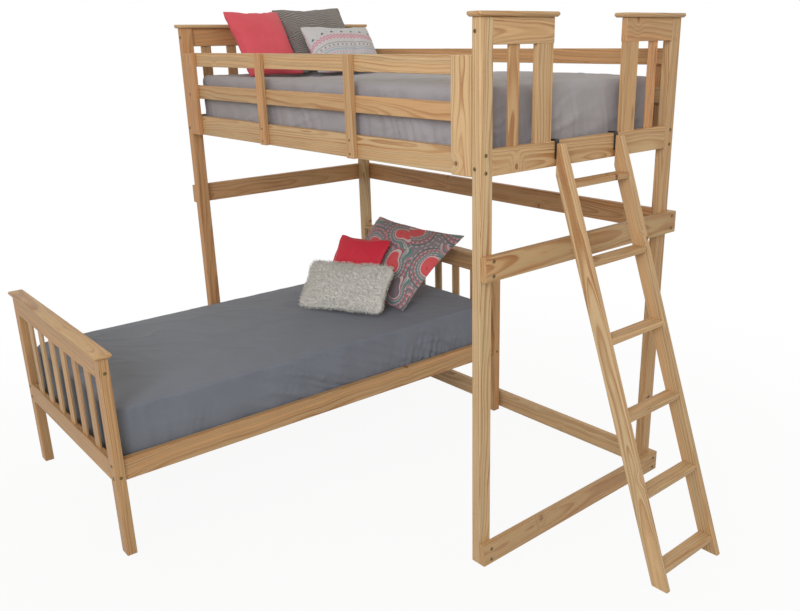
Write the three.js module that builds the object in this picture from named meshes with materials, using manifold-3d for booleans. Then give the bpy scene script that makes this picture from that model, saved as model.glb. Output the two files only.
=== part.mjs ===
// A pine loft bed with a freestanding twin bed set crosswise beneath it.
// Millimetres, +Z up. The loft's head is at -X and its ladder end at +X; the front is -Y.
import * as THREE from 'three';
import * as BufferGeometryUtils from 'three/addons/utils/BufferGeometryUtils.js';
import Module from 'manifold-3d';

const wasm = await Module();
wasm.setup();

const degrees = THREE.MathUtils.degToRad;

// Stock that both beds are cut from
const bedWide = 1055;
const postThick = 38;
const postWide = 54;
const railHigh = 85;
const railThick = 28;
const panelThick = 24;
const slatWide = 40;
const topBoardHigh = 80;
const capThick = 16;
const capOverhang = 12;
const capChamfer = 4;
const tenonDeep = 12;
const cutOverrun = 2;
const seatGap = 0.3;

// Slatted base that carries each mattress
const cleatSide = 22;
const baseSlatThick = 19;
const baseSlatWide = 70;
const baseSlatCount = 14;
const baseEndGap = 12;
const baseSideGap = 4;
const webbingThick = 2;
const webbingWide = 30;
const webbingInsetShare = 0.25;

// Loft
const loftLong = 2000;
const loftRailBottom = 1417;
const loftPostRise = 108;
const loftSlatCount = 7;
const loftSlatEndGap = 53;
const midStretcherDrop = 253;
const stretcherThick = 26;
const stileWide = 78;
const climbSideGap = 19;

// Guard rails of the loft
const guardHigh = 60;
const guardThick = 19;
const guardLowGap = 80;
const guardHighGap = 83;
const uprightThick = 19;
const uprightWide = 45;
const endUprightWide = 90;
const uprightHeadCentre = 702;
const uprightFootCentre = 1322;

// Ladder
const ladderWide = 347;
const ladderFootReach = 503;
const ladderTopDrop = 8;
const ladderCutHigh = 108;
const ladderStileThick = 22;
const ladderStileDeep = 60;
const rungCount = 6;
const rungThick = 20;
const lowestRungBottom = 53;
const topRungDrop = 146;
const hookThick = 5;
const hookWide = 14;
const hookLegInside = 34;
const hookLegOutside = 66;

// Lower bed, which stands beside the loft's head posts and is turned a little out of square
const lowerLong = 1960;
const lowerPostHigh = 795;
const lowerRailBottom = 305;
const lowerSlatCount = 6;
const lowerSlatEndGap = 106;
const lowerSideGap = 2.8;
const lowerBackGap = 5.6;
const lowerSkew = degrees(1.36);

// Mattresses, alike but for the gap left at either end of their own bed
const mattressThick = 228;
const mattressCrown = 12;
const loftMattressCrown = 2;
const loftMattressTilt = 58;
const mattressCorner = 70;
const mattressEdge = 34;
const loftMattressEndGap = 26;
const lowerMattressEndGap = 6;
const mattressSideGap = 4;

// Pillows: sizes, then how far the lower edge sinks below the mattress's crown, how far forward
// of the head's cap the pillow stands, its left corner's place across the bed, and the angles
// that it is turned, leant and tipped by
const pillowStepCount = 14;
const crownPowerShare = 2.4;
const pinchPowerShare = 0.62;
const squareDrawInShare = 0.055;
const oblongDrawInShare = 0.04;
const earPower = 3;

const coralWide = 302;
const coralHigh = 357;
const coralThick = 100;
const coralSink = 25;
const coralForward = -0.7;
const coralLeftShare = 0.19;
const coralTurn = 0;
const coralLean = degrees(55);
const coralTip = degrees(0.6);

const greyWide = 415;
const greyHigh = 367;
const greyThick = 105;
const greySink = 23.8;
const greyForward = -18.2;
const greyLeftShare = 0.461;
const greyTurn = 0;
const greyLean = degrees(56);
const greyTip = degrees(2);

const printWide = 405;
const printHigh = 254;
const printThick = 96;
const printSink = 18.1;
const printForward = 103;
const printLeftShare = 0.497;
const printTurn = 0;
const printLean = degrees(57);
const printTip = 0;

const paisleyWide = 493;
const paisleyHigh = 480;
const paisleyThick = 104;
const paisleySink = 6.1;
const paisleyForward = 283;
const paisleyLeftShare = 0.3545;
const paisleyTurn = degrees(24);
const paisleyLean = degrees(44);
const paisleyTip = degrees(-8.6);
const paisleySlump = 80;
const paisleyEarOut = 36;
const paisleyEarUp = 8;

const redWide = 305;
const redHigh = 402;
const redThick = 64;
const redSink = 2.2;
const redForward = 403.6;
const redLeftShare = 0.4095;
const redTurn = degrees(20);
const redLean = degrees(48);
const redTip = degrees(-0.3);

const furWide = 489;
const furHigh = 271;
const furThick = 80;
const furSink = 0.3;
const furForward = 504.8;
const furLeftShare = 0.408;
const furTurn = degrees(22);
const furLean = degrees(49.5);
const furTip = degrees(2.6);

// Sizes that follow from those above
const railInset = (postWide - railThick) / 2;
const loftRailTop = loftRailBottom + railHigh;
const guardMidBottom = loftRailTop + guardLowGap;
const guardTopBottom = guardMidBottom + guardHigh + guardHighGap;
const guardTop = guardTopBottom + guardHigh;
const loftPostHigh = guardTop + loftPostRise;
const mattressWide = bedWide - 2 * (railInset + railThick + mattressSideGap);

// Finishes
const finish = (color, roughness, metalness = 0) =>
  new THREE.MeshStandardMaterial({ color, roughness, metalness });
const pine = finish(0xd9b27c, 0.55);
const sheet = finish(0x77787e, 0.95);
const blackSteel = finish(0x1c1c1d, 0.45, 0.6);
const coral = finish(0xcf5560, 0.95);
const greyKnit = finish(0x857f78, 0.95);
const printedCotton = finish(0xd6d0cc, 0.95);
const paisley = finish(0x8f7f85, 0.95);
const redCotton = finish(0xc8323f, 0.95);
const whiteFur = finish(0xd8d4ce, 1);

function addMesh(group, name, geometry, material) {
  const mesh = new THREE.Mesh(geometry, material);
  mesh.name = name;
  group.add(mesh);
  return mesh;
}

// A board given by its lowest and highest corner
function board(low, high) {
  const size = high.map((value, axis) => value - low[axis]);
  const geometry = new THREE.BoxGeometry(...size);
  geometry.translate(...low.map((value, axis) => value + size[axis] / 2));
  return geometry;
}

function addBoard(group, name, low, high, material = pine) {
  return addMesh(group, name, board(low, high), material);
}

function toSolid(geometry) {
  const bare = geometry.clone();
  bare.deleteAttribute('normal');
  bare.deleteAttribute('uv');
  const merged = BufferGeometryUtils.mergeVertices(bare);
  return new wasm.Manifold(new wasm.Mesh({
    numProp: 3,
    vertProperties: new Float32Array(merged.attributes.position.array),
    triVerts: new Uint32Array(merged.index.array),
  }));
}

function toGeometry(solid) {
  const mesh = solid.getMesh();
  const geometry = new THREE.BufferGeometry();
  geometry.setAttribute('position', new THREE.BufferAttribute(mesh.vertProperties, 3));
  geometry.setIndex(new THREE.BufferAttribute(mesh.triVerts, 1));
  return geometry;
}

// Boards glued into one piece
function glued(boards) {
  return toGeometry(boards.map(toSolid).reduce((whole, next) => whole.add(next)));
}

// A closed body made of level rings with the same number of points, capped at both ends
function stackedRings(rings) {
  const count = rings[0].length;
  const positions = rings.flat(2);
  const triangles = [];
  for (let ring = 0; ring + 1 < rings.length; ring += 1) {
    for (let point = 0; point < count; point += 1) {
      const next = (point + 1) % count;
      const low = ring * count;
      const high = low + count;
      triangles.push(low + point, low + next, high + next);
      triangles.push(low + point, high + next, high + point);
    }
  }
  const middle = (ring) => ring.reduce(
    (sum, point) => sum.map((value, axis) => value + point[axis] / count), [0, 0, 0]);
  const bottom = positions.length / 3;
  positions.push(...middle(rings[0]), ...middle(rings[rings.length - 1]));
  const top = bottom + 1;
  const last = (rings.length - 1) * count;
  for (let point = 0; point < count; point += 1) {
    const next = (point + 1) % count;
    triangles.push(bottom, next, point);
    triangles.push(top, last + point, last + next);
  }
  const geometry = new THREE.BufferGeometry();
  geometry.setAttribute('position', new THREE.Float32BufferAttribute(positions, 3));
  geometry.setIndex(triangles);
  return geometry;
}

// Top cap: a board with chamfered edges that stands proud of the post and panel below
function cap(lowX, highX, lowY, highY, postHigh) {
  const bottom = postHigh + seatGap;
  const levels = [
    [bottom, capChamfer],
    [bottom + capChamfer, 0],
    [bottom + capThick - capChamfer, 0],
    [bottom + capThick, capChamfer],
  ];
  return stackedRings(levels.map(([z, inset]) => {
    const out = capOverhang - inset;
    return [
      [lowX - out, lowY - out, z],
      [highX + out, lowY - out, z],
      [highX + out, highY + out, z],
      [lowX - out, highY + out, z],
    ];
  }));
}

// Slats of an end panel, evenly spaced between the gaps beside the posts
function panelSlats(lowX, highX, count, endGap, bottom, top) {
  const first = postWide + endGap;
  const last = bedWide - first - slatWide;
  return Array.from({ length: count }, (_, index) => {
    const y = first + (last - first) * index / (count - 1);
    return board([lowX, y, bottom - tenonDeep], [highX, y + slatWide, top + tenonDeep]);
  });
}

// End panel as wide as the bed: end rail, slats and top board glued together
function fullPanel(lowX, highX, railBottom, postHigh, slatCount, slatEndGap) {
  const railTop = railBottom + railHigh;
  const boardBottom = postHigh - topBoardHigh;
  const from = postWide + seatGap;
  const to = bedWide - from;
  return glued([
    board([lowX, from, railBottom], [highX, to, railTop]),
    board([lowX, from, boardBottom], [highX, to, postHigh]),
    ...panelSlats(lowX, highX, slatCount, slatEndGap, railTop, boardBottom),
  ]);
}

function roundedOutline(halfX, halfY, corner, steps) {
  const outline = [];
  const centres = [[1, 1], [-1, 1], [-1, -1], [1, -1]];
  centres.forEach(([signX, signY], quarter) => {
    for (let step = 0; step <= steps; step += 1) {
      const angle = (quarter + step / steps) * Math.PI / 2;
      outline.push([
        signX * (halfX - corner) + corner * Math.cos(angle),
        signY * (halfY - corner) + corner * Math.sin(angle),
      ]);
    }
  });
  return outline;
}

// Mattress in its fitted sheet: flat underside, rounded edges and a shallow crown, which may
// be lower toward the head, where pillows weigh on it
function mattress(mattressLong, crown, tilt) {
  const cornerSteps = 5;
  const edgeSteps = 4;
  const crownSteps = 5;
  const halfX = mattressLong / 2;
  const halfY = mattressWide / 2;
  const ring = (inset, z) => roundedOutline(
    halfX - inset, halfY - inset, mattressCorner - inset, cornerSteps).map(([x, y]) => [x, y, z]);
  const rings = [];
  for (let step = 0; step <= edgeSteps; step += 1) {
    const angle = step / edgeSteps * Math.PI / 2;
    rings.push(ring(mattressEdge * (1 - Math.sin(angle)), mattressEdge * (1 - Math.cos(angle))));
  }
  const shoulder = mattressThick - mattressEdge;
  for (let step = 0; step <= edgeSteps; step += 1) {
    const angle = step / edgeSteps * Math.PI / 2;
    rings.push(ring(mattressEdge * (1 - Math.cos(angle)), shoulder + mattressEdge * Math.sin(angle)));
  }
  const topRing = rings[rings.length - 1];
  for (let step = 1; step < crownSteps; step += 1) {
    const share = step / crownSteps;
    const weight = Math.sin(share * Math.PI / 2);
    rings.push(topRing.map(([x, y, z]) => {
      const rise = weight * (crown + tilt * x * (1 - share) / halfX);
      return [x * (1 - share), y * (1 - share), z + rise];
    }));
  }
  return stackedRings(rings);
}

// Pillow with a crown, pinched edges and sides drawn in between its corners. Its lower left
// corner, seen from the front, is the origin; X runs to the right, Y up the pillow, Z to the front.
// A slumped pillow's top lies to the right of its foot, and its upper right corner is drawn out.
function pillow({ wide, high, thick, drawIn, slump = 0, earOut = 0, earUp = 0 }) {
  const half = pillowStepCount / 2;
  const positions = [];
  const indices = [new Map(), new Map()];
  const fullness = (share) => Math.pow(1 - Math.pow(Math.abs(share), crownPowerShare), pinchPowerShare);
  const add = (column, row, side) => {
    const u = column / half - 1;
    const v = row / half - 1;
    const ear = Math.pow((1 + u) * (1 + v) / 4, earPower);
    const x = wide / 2 * (1 + u * (1 - drawIn * (1 - v * v))) + slump * (1 + v) / 2 + earOut * ear;
    const y = high / 2 * (1 + v * (1 - drawIn * (1 - u * u))) + earUp * ear;
    positions.push(x, y, side * thick / 2 * fullness(u) * fullness(v));
    return positions.length / 3 - 1;
  };
  for (let row = 0; row <= pillowStepCount; row += 1) {
    for (let column = 0; column <= pillowStepCount; column += 1) {
      const key = `${column},${row}`;
      const atEdge = column === 0 || row === 0 || column === pillowStepCount || row === pillowStepCount;
      const front = add(column, row, 1);
      indices[0].set(key, front);
      indices[1].set(key, atEdge ? front : add(column, row, -1));
    }
  }
  const triangles = [];
  const faces = (side, corners) => {
    const points = corners.map(([column, row]) => indices[side].get(`${column},${row}`));
    triangles.push(...(side === 0 ? points : points.reverse()));
  };
  for (let row = 0; row < pillowStepCount; row += 1) {
    for (let column = 0; column < pillowStepCount; column += 1) {
      const a = [column, row];
      const b = [column + 1, row];
      const c = [column + 1, row + 1];
      const d = [column, row + 1];
      const rising = (column < half) === (row < half);
      [0, 1].forEach((side) => {
        if (rising) {
          faces(side, [a, b, c]);
          faces(side, [a, c, d]);
        } else {
          faces(side, [a, b, d]);
          faces(side, [b, c, d]);
        }
      });
    }
  }
  const geometry = new THREE.BufferGeometry();
  geometry.setAttribute('position', new THREE.Float32BufferAttribute(positions, 3));
  geometry.setIndex(triangles);
  return geometry;
}

// Pillow standing on the mattress of a bed whose head is at the X origin
function addPillow(group, name, material, railBottom, postHigh, pad) {
  const mesh = addMesh(group, name, pillow(pad), material);
  const { sink, forward, leftShare, turn, lean, tip } = pad;
  const facing = new THREE.Vector3(Math.cos(turn), Math.sin(turn), 0);
  const right = new THREE.Vector3(-facing.y, facing.x, 0);
  const up = facing.clone().multiplyScalar(-Math.cos(lean));
  up.z = Math.sin(lean);
  const front = new THREE.Vector3().crossVectors(right, up);
  mesh.quaternion.setFromRotationMatrix(new THREE.Matrix4().makeBasis(right, up, front));
  mesh.rotateZ(tip);
  const droop = Math.max(0, -Math.sin(tip)) * pad.wide * Math.sin(lean);
  const z = mattressBottom(railBottom) + mattressThick + mattressCrown - sink + droop;
  const capTop = postHigh + seatGap + capThick;
  const atCap = postThick + capOverhang + pad.thick / 2 / Math.sin(lean);
  const x = atCap + forward + (capTop - z) / Math.tan(lean);
  mesh.position.set(x, bedWide * leftShare, z);
}

// Slats joined by two webbing straps, which roll out over the cleats
function slatRoll(length, railBottom) {
  const innerY = railInset + railThick + baseSideGap;
  const firstX = postThick + baseEndGap;
  const lastX = length - postThick - baseEndGap - baseSlatWide;
  const bottom = slatBottom(railBottom);
  const boards = Array.from({ length: baseSlatCount }, (_, index) => {
    const x = firstX + (lastX - firstX) * index / (baseSlatCount - 1);
    return board([x, innerY, bottom], [x + baseSlatWide, bedWide - innerY, bottom + baseSlatThick]);
  });
  const span = bedWide - 2 * innerY;
  [webbingInsetShare, 1 - webbingInsetShare].forEach((share) => {
    const y = innerY + span * share;
    boards.push(board([firstX, y - webbingWide / 2, bottom - webbingThick],
      [lastX + baseSlatWide, y + webbingWide / 2, bottom + webbingThick]));
  });
  return glued(boards);
}

// Side rail with the cleat that carries the slats glued along its inner face
function sideRail(length, railBottom, atFront) {
  const railInner = railInset + railThick;
  const rail = [railInset, railInner];
  const cleat = [railInner - cutOverrun, railInner + cleatSide];
  const place = ([low, high]) => (atFront ? [low, high] : [bedWide - high, bedWide - low]);
  const [railLow, railHighY] = place(rail);
  const [cleatLow, cleatHigh] = place(cleat);
  const from = postThick + seatGap;
  const to = length - from;
  return glued([
    board([from, railLow, railBottom], [to, railHighY, railBottom + railHigh]),
    board([from, cleatLow, railBottom], [to, cleatHigh, railBottom + cleatSide]),
  ]);
}

function slatBottom(railBottom) {
  return railBottom + cleatSide + seatGap;
}

function mattressBottom(railBottom) {
  return slatBottom(railBottom) + baseSlatThick + seatGap;
}

// Posts, side rails, slats and mattress, which both beds have alike
function bedBasics(group, prefix, names, length, postHigh, railBottom, mattressPad) {
  const { mattressEndGap, crown, tilt } = mattressPad;
  const ends = [[names.head, 0], [names.foot, length - postThick]];
  const sides = [[names.near, 0], [names.far, bedWide - postWide]];
  ends.forEach(([end, x]) => sides.forEach(([side, y]) => {
    addBoard(group, `${prefix}_post_${end}_${side}`, [x, y, 0], [x + postThick, y + postWide, postHigh]);
  }));
  addMesh(group, `${prefix}_side_rail_${names.near}`, sideRail(length, railBottom, true), pine);
  addMesh(group, `${prefix}_side_rail_${names.far}`, sideRail(length, railBottom, false), pine);
  addMesh(group, `${prefix}_slat_roll`, slatRoll(length, railBottom), pine);
  const mattressLong = length - 2 * (panelThick + mattressEndGap);
  const pad = addMesh(group, `${prefix}_mattress`, mattress(mattressLong, crown, tilt), sheet);
  pad.position.set(length / 2, bedWide / 2, mattressBottom(railBottom));
}

function buildLoft() {
  const loft = new THREE.Group();
  const names = { head: 'head', foot: 'ladder', near: 'front', far: 'back' };
  bedBasics(loft, 'loft', names, loftLong, loftPostHigh, loftRailBottom,
    { mattressEndGap: loftMattressEndGap, crown: loftMattressCrown, tilt: loftMattressTilt });

  addMesh(loft, 'loft_head_panel',
    fullPanel(0, panelThick, loftRailBottom, loftPostHigh, loftSlatCount, loftSlatEndGap), pine);
  addMesh(loft, 'loft_head_cap', cap(0, postThick, 0, bedWide, loftPostHigh), pine);

  // Ladder end: a slatted wing each side of the gap that one climbs in by
  const lowX = loftLong - panelThick;
  const boardBottom = loftPostHigh - topBoardHigh;
  const shortPanelWide = (bedWide - ladderWide) / 2 - climbSideGap;
  const slatGap = (shortPanelWide - postWide - stileWide - slatWide) / 2;
  const from = postWide + seatGap;
  const wings = [board([lowX, from, loftRailBottom], [loftLong, bedWide - from, loftRailTop])];
  const wing = (low, high, bottom, top) => {
    wings.push(board([lowX, low, bottom], [loftLong, high, top]));
    wings.push(board([lowX, bedWide - high, bottom], [loftLong, bedWide - low, top]));
  };
  wing(from, shortPanelWide, boardBottom, loftPostHigh);
  wing(shortPanelWide - stileWide, shortPanelWide, loftRailTop - tenonDeep, boardBottom + tenonDeep);
  wing(postWide + slatGap, postWide + slatGap + slatWide, loftRailTop - tenonDeep, boardBottom + tenonDeep);
  addMesh(loft, 'loft_ladder_end_panel', glued(wings), pine);
  addMesh(loft, 'loft_ladder_end_cap_front',
    cap(loftLong - postThick, loftLong, 0, shortPanelWide, loftPostHigh), pine);
  addMesh(loft, 'loft_ladder_end_cap_back',
    cap(loftLong - postThick, loftLong, bedWide - shortPanelWide, bedWide, loftPostHigh), pine);

  // Guards: two rails between the posts, and uprights screwed to the rails' outer faces
  const guardFrom = postThick + seatGap;
  const guardTo = loftLong - guardFrom;
  const uprights = [
    ['head_end', guardFrom, guardFrom + endUprightWide],
    ['head', uprightHeadCentre - uprightWide / 2, uprightHeadCentre + uprightWide / 2],
    ['foot', uprightFootCentre - uprightWide / 2, uprightFootCentre + uprightWide / 2],
    ['ladder_end', guardTo - endUprightWide, guardTo],
  ];
  ['front', 'back'].forEach((side) => {
    const place = (low, high) => (side === 'front' ? [low, high] : [bedWide - high, bedWide - low]);
    const [railLow, railHighY] = place(railInset, railInset + guardThick);
    [['mid', guardMidBottom], ['top', guardTopBottom]].forEach(([level, bottom]) => {
      addBoard(loft, `loft_guard_${side}_${level}_rail`,
        [guardFrom, railLow, bottom], [guardTo, railHighY, bottom + guardHigh]);
    });
    const [low, high] = place(railInset - seatGap - uprightThick, railInset - seatGap);
    uprights.forEach(([where, from, to]) => {
      addBoard(loft, `loft_guard_${side}_upright_${where}`, [from, low, loftRailBottom], [to, high, guardTop]);
    });
  });

  // Stretchers bolted to the posts' outer faces; the end ones cover the back ones' ends
  [['mid', loftRailBottom - midStretcherDrop - railHigh], ['low', 0]].forEach(([level, bottom]) => {
    const top = bottom + railHigh;
    const inner = bedWide + seatGap;
    const backY = inner + stretcherThick;
    const endX = loftLong + seatGap;
    addBoard(loft, `loft_stretcher_${level}_head`,
      [-seatGap - stretcherThick, 0, bottom], [-seatGap, backY, top]);
    addBoard(loft, `loft_stretcher_${level}_ladder`,
      [endX, 0, bottom], [endX + stretcherThick, backY, top]);
    addBoard(loft, `loft_stretcher_${level}_back`, [0, inner, bottom], [loftLong, backY, top]);
  });

  addPillow(loft, 'pillow_coral', coral, loftRailBottom, loftPostHigh, {
    wide: coralWide,
    high: coralHigh,
    thick: coralThick,
    drawIn: squareDrawInShare,
    sink: coralSink,
    forward: coralForward,
    leftShare: coralLeftShare,
    turn: coralTurn,
    lean: coralLean,
    tip: coralTip,
  });
  addPillow(loft, 'pillow_grey', greyKnit, loftRailBottom, loftPostHigh, {
    wide: greyWide,
    high: greyHigh,
    thick: greyThick,
    drawIn: squareDrawInShare,
    sink: greySink,
    forward: greyForward,
    leftShare: greyLeftShare,
    turn: greyTurn,
    lean: greyLean,
    tip: greyTip,
  });
  addPillow(loft, 'pillow_print', printedCotton, loftRailBottom, loftPostHigh, {
    wide: printWide,
    high: printHigh,
    thick: printThick,
    drawIn: oblongDrawInShare,
    sink: printSink,
    forward: printForward,
    leftShare: printLeftShare,
    turn: printTurn,
    lean: printLean,
    tip: printTip,
  });
  return loft;
}

function buildLadder() {
  const ladder = new THREE.Group();
  const stileTop = loftRailTop - ladderTopDrop;
  const strapFace = loftLong + seatGap + hookThick;
  const topFace = strapFace + seatGap;
  const footInner = loftLong + ladderFootReach;
  const cutBottom = stileTop - ladderCutHigh;
  const slope = (footInner - topFace) / cutBottom;
  const levelCut = ladderStileDeep * Math.hypot(1, slope);
  const outline = new THREE.Shape([
    new THREE.Vector2(footInner, 0),
    new THREE.Vector2(footInner + levelCut, 0),
    new THREE.Vector2(footInner + levelCut - slope * stileTop, stileTop),
    new THREE.Vector2(topFace, stileTop),
    new THREE.Vector2(topFace, cutBottom),
  ]);
  const frontY = (bedWide - ladderWide) / 2;
  const backY = frontY + ladderWide;
  [['front', frontY], ['back', backY - ladderStileThick]].forEach(([side, y]) => {
    const geometry = new THREE.ExtrudeGeometry(outline, { depth: ladderStileThick, bevelEnabled: false });
    geometry.rotateX(Math.PI / 2);
    const stile = addMesh(ladder, `ladder_stile_${side}`, geometry, pine);
    stile.position.y = y + ladderStileThick;
  });
  const rungFrom = frontY + ladderStileThick + seatGap;
  const rungTo = backY - ladderStileThick - seatGap;
  const rungPitch = (stileTop - topRungDrop - lowestRungBottom) / (rungCount - 1);
  for (let index = 0; index < rungCount; index += 1) {
    const bottom = lowestRungBottom + index * rungPitch;
    const outerX = footInner + levelCut - slope * (bottom + rungThick);
    const innerX = footInner - slope * bottom;
    addBoard(ladder, `ladder_rung_${index + 1}`,
      [innerX, rungFrom, bottom], [outerX, rungTo, bottom + rungThick]);
  }
  // Hooks: flat straps screwed to the stiles' upright cuts and bent over the end rail
  const hookInner = loftLong - panelThick - seatGap;
  const hookBottom = loftRailTop + seatGap;
  const hookTop = hookBottom + hookThick;
  const strap = new THREE.Shape([
    new THREE.Vector2(strapFace, hookTop - hookLegOutside),
    new THREE.Vector2(strapFace, hookTop),
    new THREE.Vector2(hookInner - hookThick, hookTop),
    new THREE.Vector2(hookInner - hookThick, hookTop - hookLegInside),
    new THREE.Vector2(hookInner, hookTop - hookLegInside),
    new THREE.Vector2(hookInner, hookBottom),
    new THREE.Vector2(strapFace - hookThick, hookBottom),
    new THREE.Vector2(strapFace - hookThick, hookTop - hookLegOutside),
  ]);
  [['front', frontY], ['back', backY - ladderStileThick]].forEach(([side, y]) => {
    const geometry = new THREE.ExtrudeGeometry(strap, { depth: hookWide, bevelEnabled: false });
    geometry.rotateX(Math.PI / 2);
    const hook = addMesh(ladder, `ladder_hook_${side}`, geometry, blackSteel);
    hook.position.y = y + (ladderStileThick + hookWide) / 2;
  });
  return ladder;
}

function buildLowerBed() {
  const lower = new THREE.Group();
  const names = { head: 'head', foot: 'foot', near: 'left', far: 'right' };
  bedBasics(lower, 'lower', names, lowerLong, lowerPostHigh, lowerRailBottom,
    { mattressEndGap: lowerMattressEndGap, crown: mattressCrown, tilt: 0 });
  const ends = [
    ['head', 0, 0],
    ['foot', lowerLong - panelThick, lowerLong - postThick],
  ];
  ends.forEach(([end, panelX, postX]) => {
    addMesh(lower, `lower_${end}_panel`, fullPanel(panelX, panelX + panelThick,
      lowerRailBottom, lowerPostHigh, lowerSlatCount, lowerSlatEndGap), pine);
    addMesh(lower, `lower_${end}_cap`, cap(postX, postX + postThick, 0, bedWide, lowerPostHigh), pine);
  });
  addPillow(lower, 'pillow_paisley', paisley, lowerRailBottom, lowerPostHigh, {
    wide: paisleyWide,
    high: paisleyHigh,
    thick: paisleyThick,
    drawIn: squareDrawInShare,
    sink: paisleySink,
    forward: paisleyForward,
    leftShare: paisleyLeftShare,
    turn: paisleyTurn,
    lean: paisleyLean,
    tip: paisleyTip,
    slump: paisleySlump,
    earOut: paisleyEarOut,
    earUp: paisleyEarUp,
  });
  addPillow(lower, 'pillow_red', redCotton, lowerRailBottom, lowerPostHigh, {
    wide: redWide,
    high: redHigh,
    thick: redThick,
    drawIn: squareDrawInShare,
    sink: redSink,
    forward: redForward,
    leftShare: redLeftShare,
    turn: redTurn,
    lean: redLean,
    tip: redTip,
  });
  addPillow(lower, 'pillow_fur', whiteFur, lowerRailBottom, lowerPostHigh, {
    wide: furWide,
    high: furHigh,
    thick: furThick,
    drawIn: oblongDrawInShare,
    sink: furSink,
    forward: furForward,
    leftShare: furLeftShare,
    turn: furTurn,
    lean: furLean,
    tip: furTip,
  });

  // The head's left corner stands in the loft's back corner, clear of both head posts
  const besideFrontPost = bedWide * Math.tan(lowerSkew) - railInset;
  const cornerX = postThick + lowerSideGap + Math.max(capOverhang, besideFrontPost);
  lower.rotation.z = -Math.PI / 2 - lowerSkew;
  lower.position.set(cornerX, bedWide - lowerBackGap, 0);
  return lower;
}

const assembly = new THREE.Group();
assembly.add(buildLoft(), buildLadder(), buildLowerBed());
assembly.updateMatrixWorld(true);

// Origin: the middle of the footprint, on the floor
const box = new THREE.Box3().setFromObject(assembly, true);
const centre = box.getCenter(new THREE.Vector3());
assembly.position.set(-centre.x, -centre.y, -box.min.z);

const bed = new THREE.Group();
bed.add(assembly);
export default bed;
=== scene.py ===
import math
import random

import bmesh
import bpy
import numpy as np
from mathutils import Matrix, Vector, noise


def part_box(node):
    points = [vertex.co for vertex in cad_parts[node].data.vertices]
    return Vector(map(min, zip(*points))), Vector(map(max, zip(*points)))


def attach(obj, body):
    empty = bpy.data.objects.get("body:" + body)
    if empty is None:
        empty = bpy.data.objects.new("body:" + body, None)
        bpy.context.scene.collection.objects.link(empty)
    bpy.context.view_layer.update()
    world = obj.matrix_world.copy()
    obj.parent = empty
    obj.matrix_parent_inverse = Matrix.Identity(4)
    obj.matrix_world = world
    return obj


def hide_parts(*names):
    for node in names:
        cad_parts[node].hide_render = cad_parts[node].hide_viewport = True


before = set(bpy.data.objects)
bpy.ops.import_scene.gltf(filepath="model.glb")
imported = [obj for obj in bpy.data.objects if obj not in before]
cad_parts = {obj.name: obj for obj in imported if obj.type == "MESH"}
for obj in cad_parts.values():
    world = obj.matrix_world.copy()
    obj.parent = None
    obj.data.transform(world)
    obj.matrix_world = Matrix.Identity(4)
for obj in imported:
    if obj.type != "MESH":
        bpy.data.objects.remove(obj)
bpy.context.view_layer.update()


# Loft posts. Four straight pine boards of 54 by 38 mm, planed, with their long edges eased
# by a router. They stand on the floor and carry the whole loft.

MM = 0.001
EASE = 2.2


def linear(code):
    """A hex sRGB colour as linear RGBA."""
    parts = [int(code[i:i + 2], 16) / 255 for i in (1, 3, 5)]
    return [p / 12.92 if p <= 0.04045 else ((p + 0.055) / 1.055) ** 2.4 for p in parts] + [1.0]


def plug(node, inputs):
    """Sets a node's inputs to values, to hex colours or to what other nodes give."""
    for key, value in inputs.items():
        if isinstance(value, bpy.types.Node):
            value = next(output for output in value.outputs if output.enabled)
        if isinstance(value, bpy.types.NodeSocket):
            node.id_data.links.new(value, node.inputs[key])
        else:
            is_hex = isinstance(value, str) and value.startswith("#")
            node.inputs[key].default_value = linear(value) if is_hex else value


def add(tree, kind, inputs=(), stops=(), **settings):
    """Adds a node of a kind and operation, with its inputs by name or in order, a ramp's stops
    and its other settings."""
    kind, _, mode = kind.partition(" ")
    node = tree.nodes.new(kind if "Node" in kind else f"ShaderNode{kind}")
    if mode:
        settings["data_type" if kind == "Mix" else "operation"] = mode
    for key, value in settings.items():
        setattr(node, key, value)
    plug(node, inputs if isinstance(inputs, dict) else dict(enumerate(inputs)))
    for index, (position, colour) in enumerate(stops):
        ramp = node.color_ramp.elements
        stop = ramp[index] if index < len(ramp) and index < 2 else ramp.new(position)
        stop.position = position
        stop.color = linear(colour)
    return node


def surface(name, roughness, **values):
    """A new material: its tree and its Principled shader, with plain values on its sockets."""
    material = bpy.data.materials.new(name)
    material.use_nodes = True
    shader = material.node_tree.nodes["Principled BSDF"]
    shader.inputs["Roughness"].default_value = roughness
    for key, value in values.items():
        shader.inputs[key.replace("_", " ")].default_value = value
    return material, material.node_tree, shader


# Solid pine, planed and sanded, left natural: pale early wood with honey late wood lines that
# run into long arches on a flat-sawn face, and here and there a red-brown knot. The pattern is
# the tree's own: rings about a pith that lies beside each board, so edges and ends agree.
RING = 5.6 * MM
pine, tree, shader = surface("natural pine", 0.5)
spot = add(tree, "Attribute", attribute_name="grain").outputs["Vector"]
number = add(tree, "Attribute", attribute_name="board").outputs["Fac"]
luck = add(tree, "TexWhiteNoise", {"W": number}, noise_dimensions="1D").outputs["Color"]
pith = add(tree, "VectorMath MULTIPLY_ADD", [luck, (30, 0.12, 0.07), (0, -0.06, 0.035)])
trunk = add(tree, "VectorMath", [spot, pith])
slow = add(tree, "VectorMath MULTIPLY", [trunk, (2.2, 5, 5)])
sway = add(tree, "TexNoise", {"Vector": slow, "Scale": 1.0, "Detail": 2.0}).outputs["Color"]
bend = add(tree, "VectorMath MULTIPLY_ADD", [sway, (0, 0.026, 0.026), (0, -0.013, -0.013)])
bent = add(tree, "VectorMath", [trunk, bend])
axes = add(tree, "SeparateXYZ", [bent]).outputs
radial = add(tree, "CombineXYZ", {1: axes["Y"], 2: axes["Z"]})
radius = add(tree, "VectorMath LENGTH", [radial])
turn = add(tree, "Math ARCTAN2", [axes["Z"], axes["Y"]])
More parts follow.
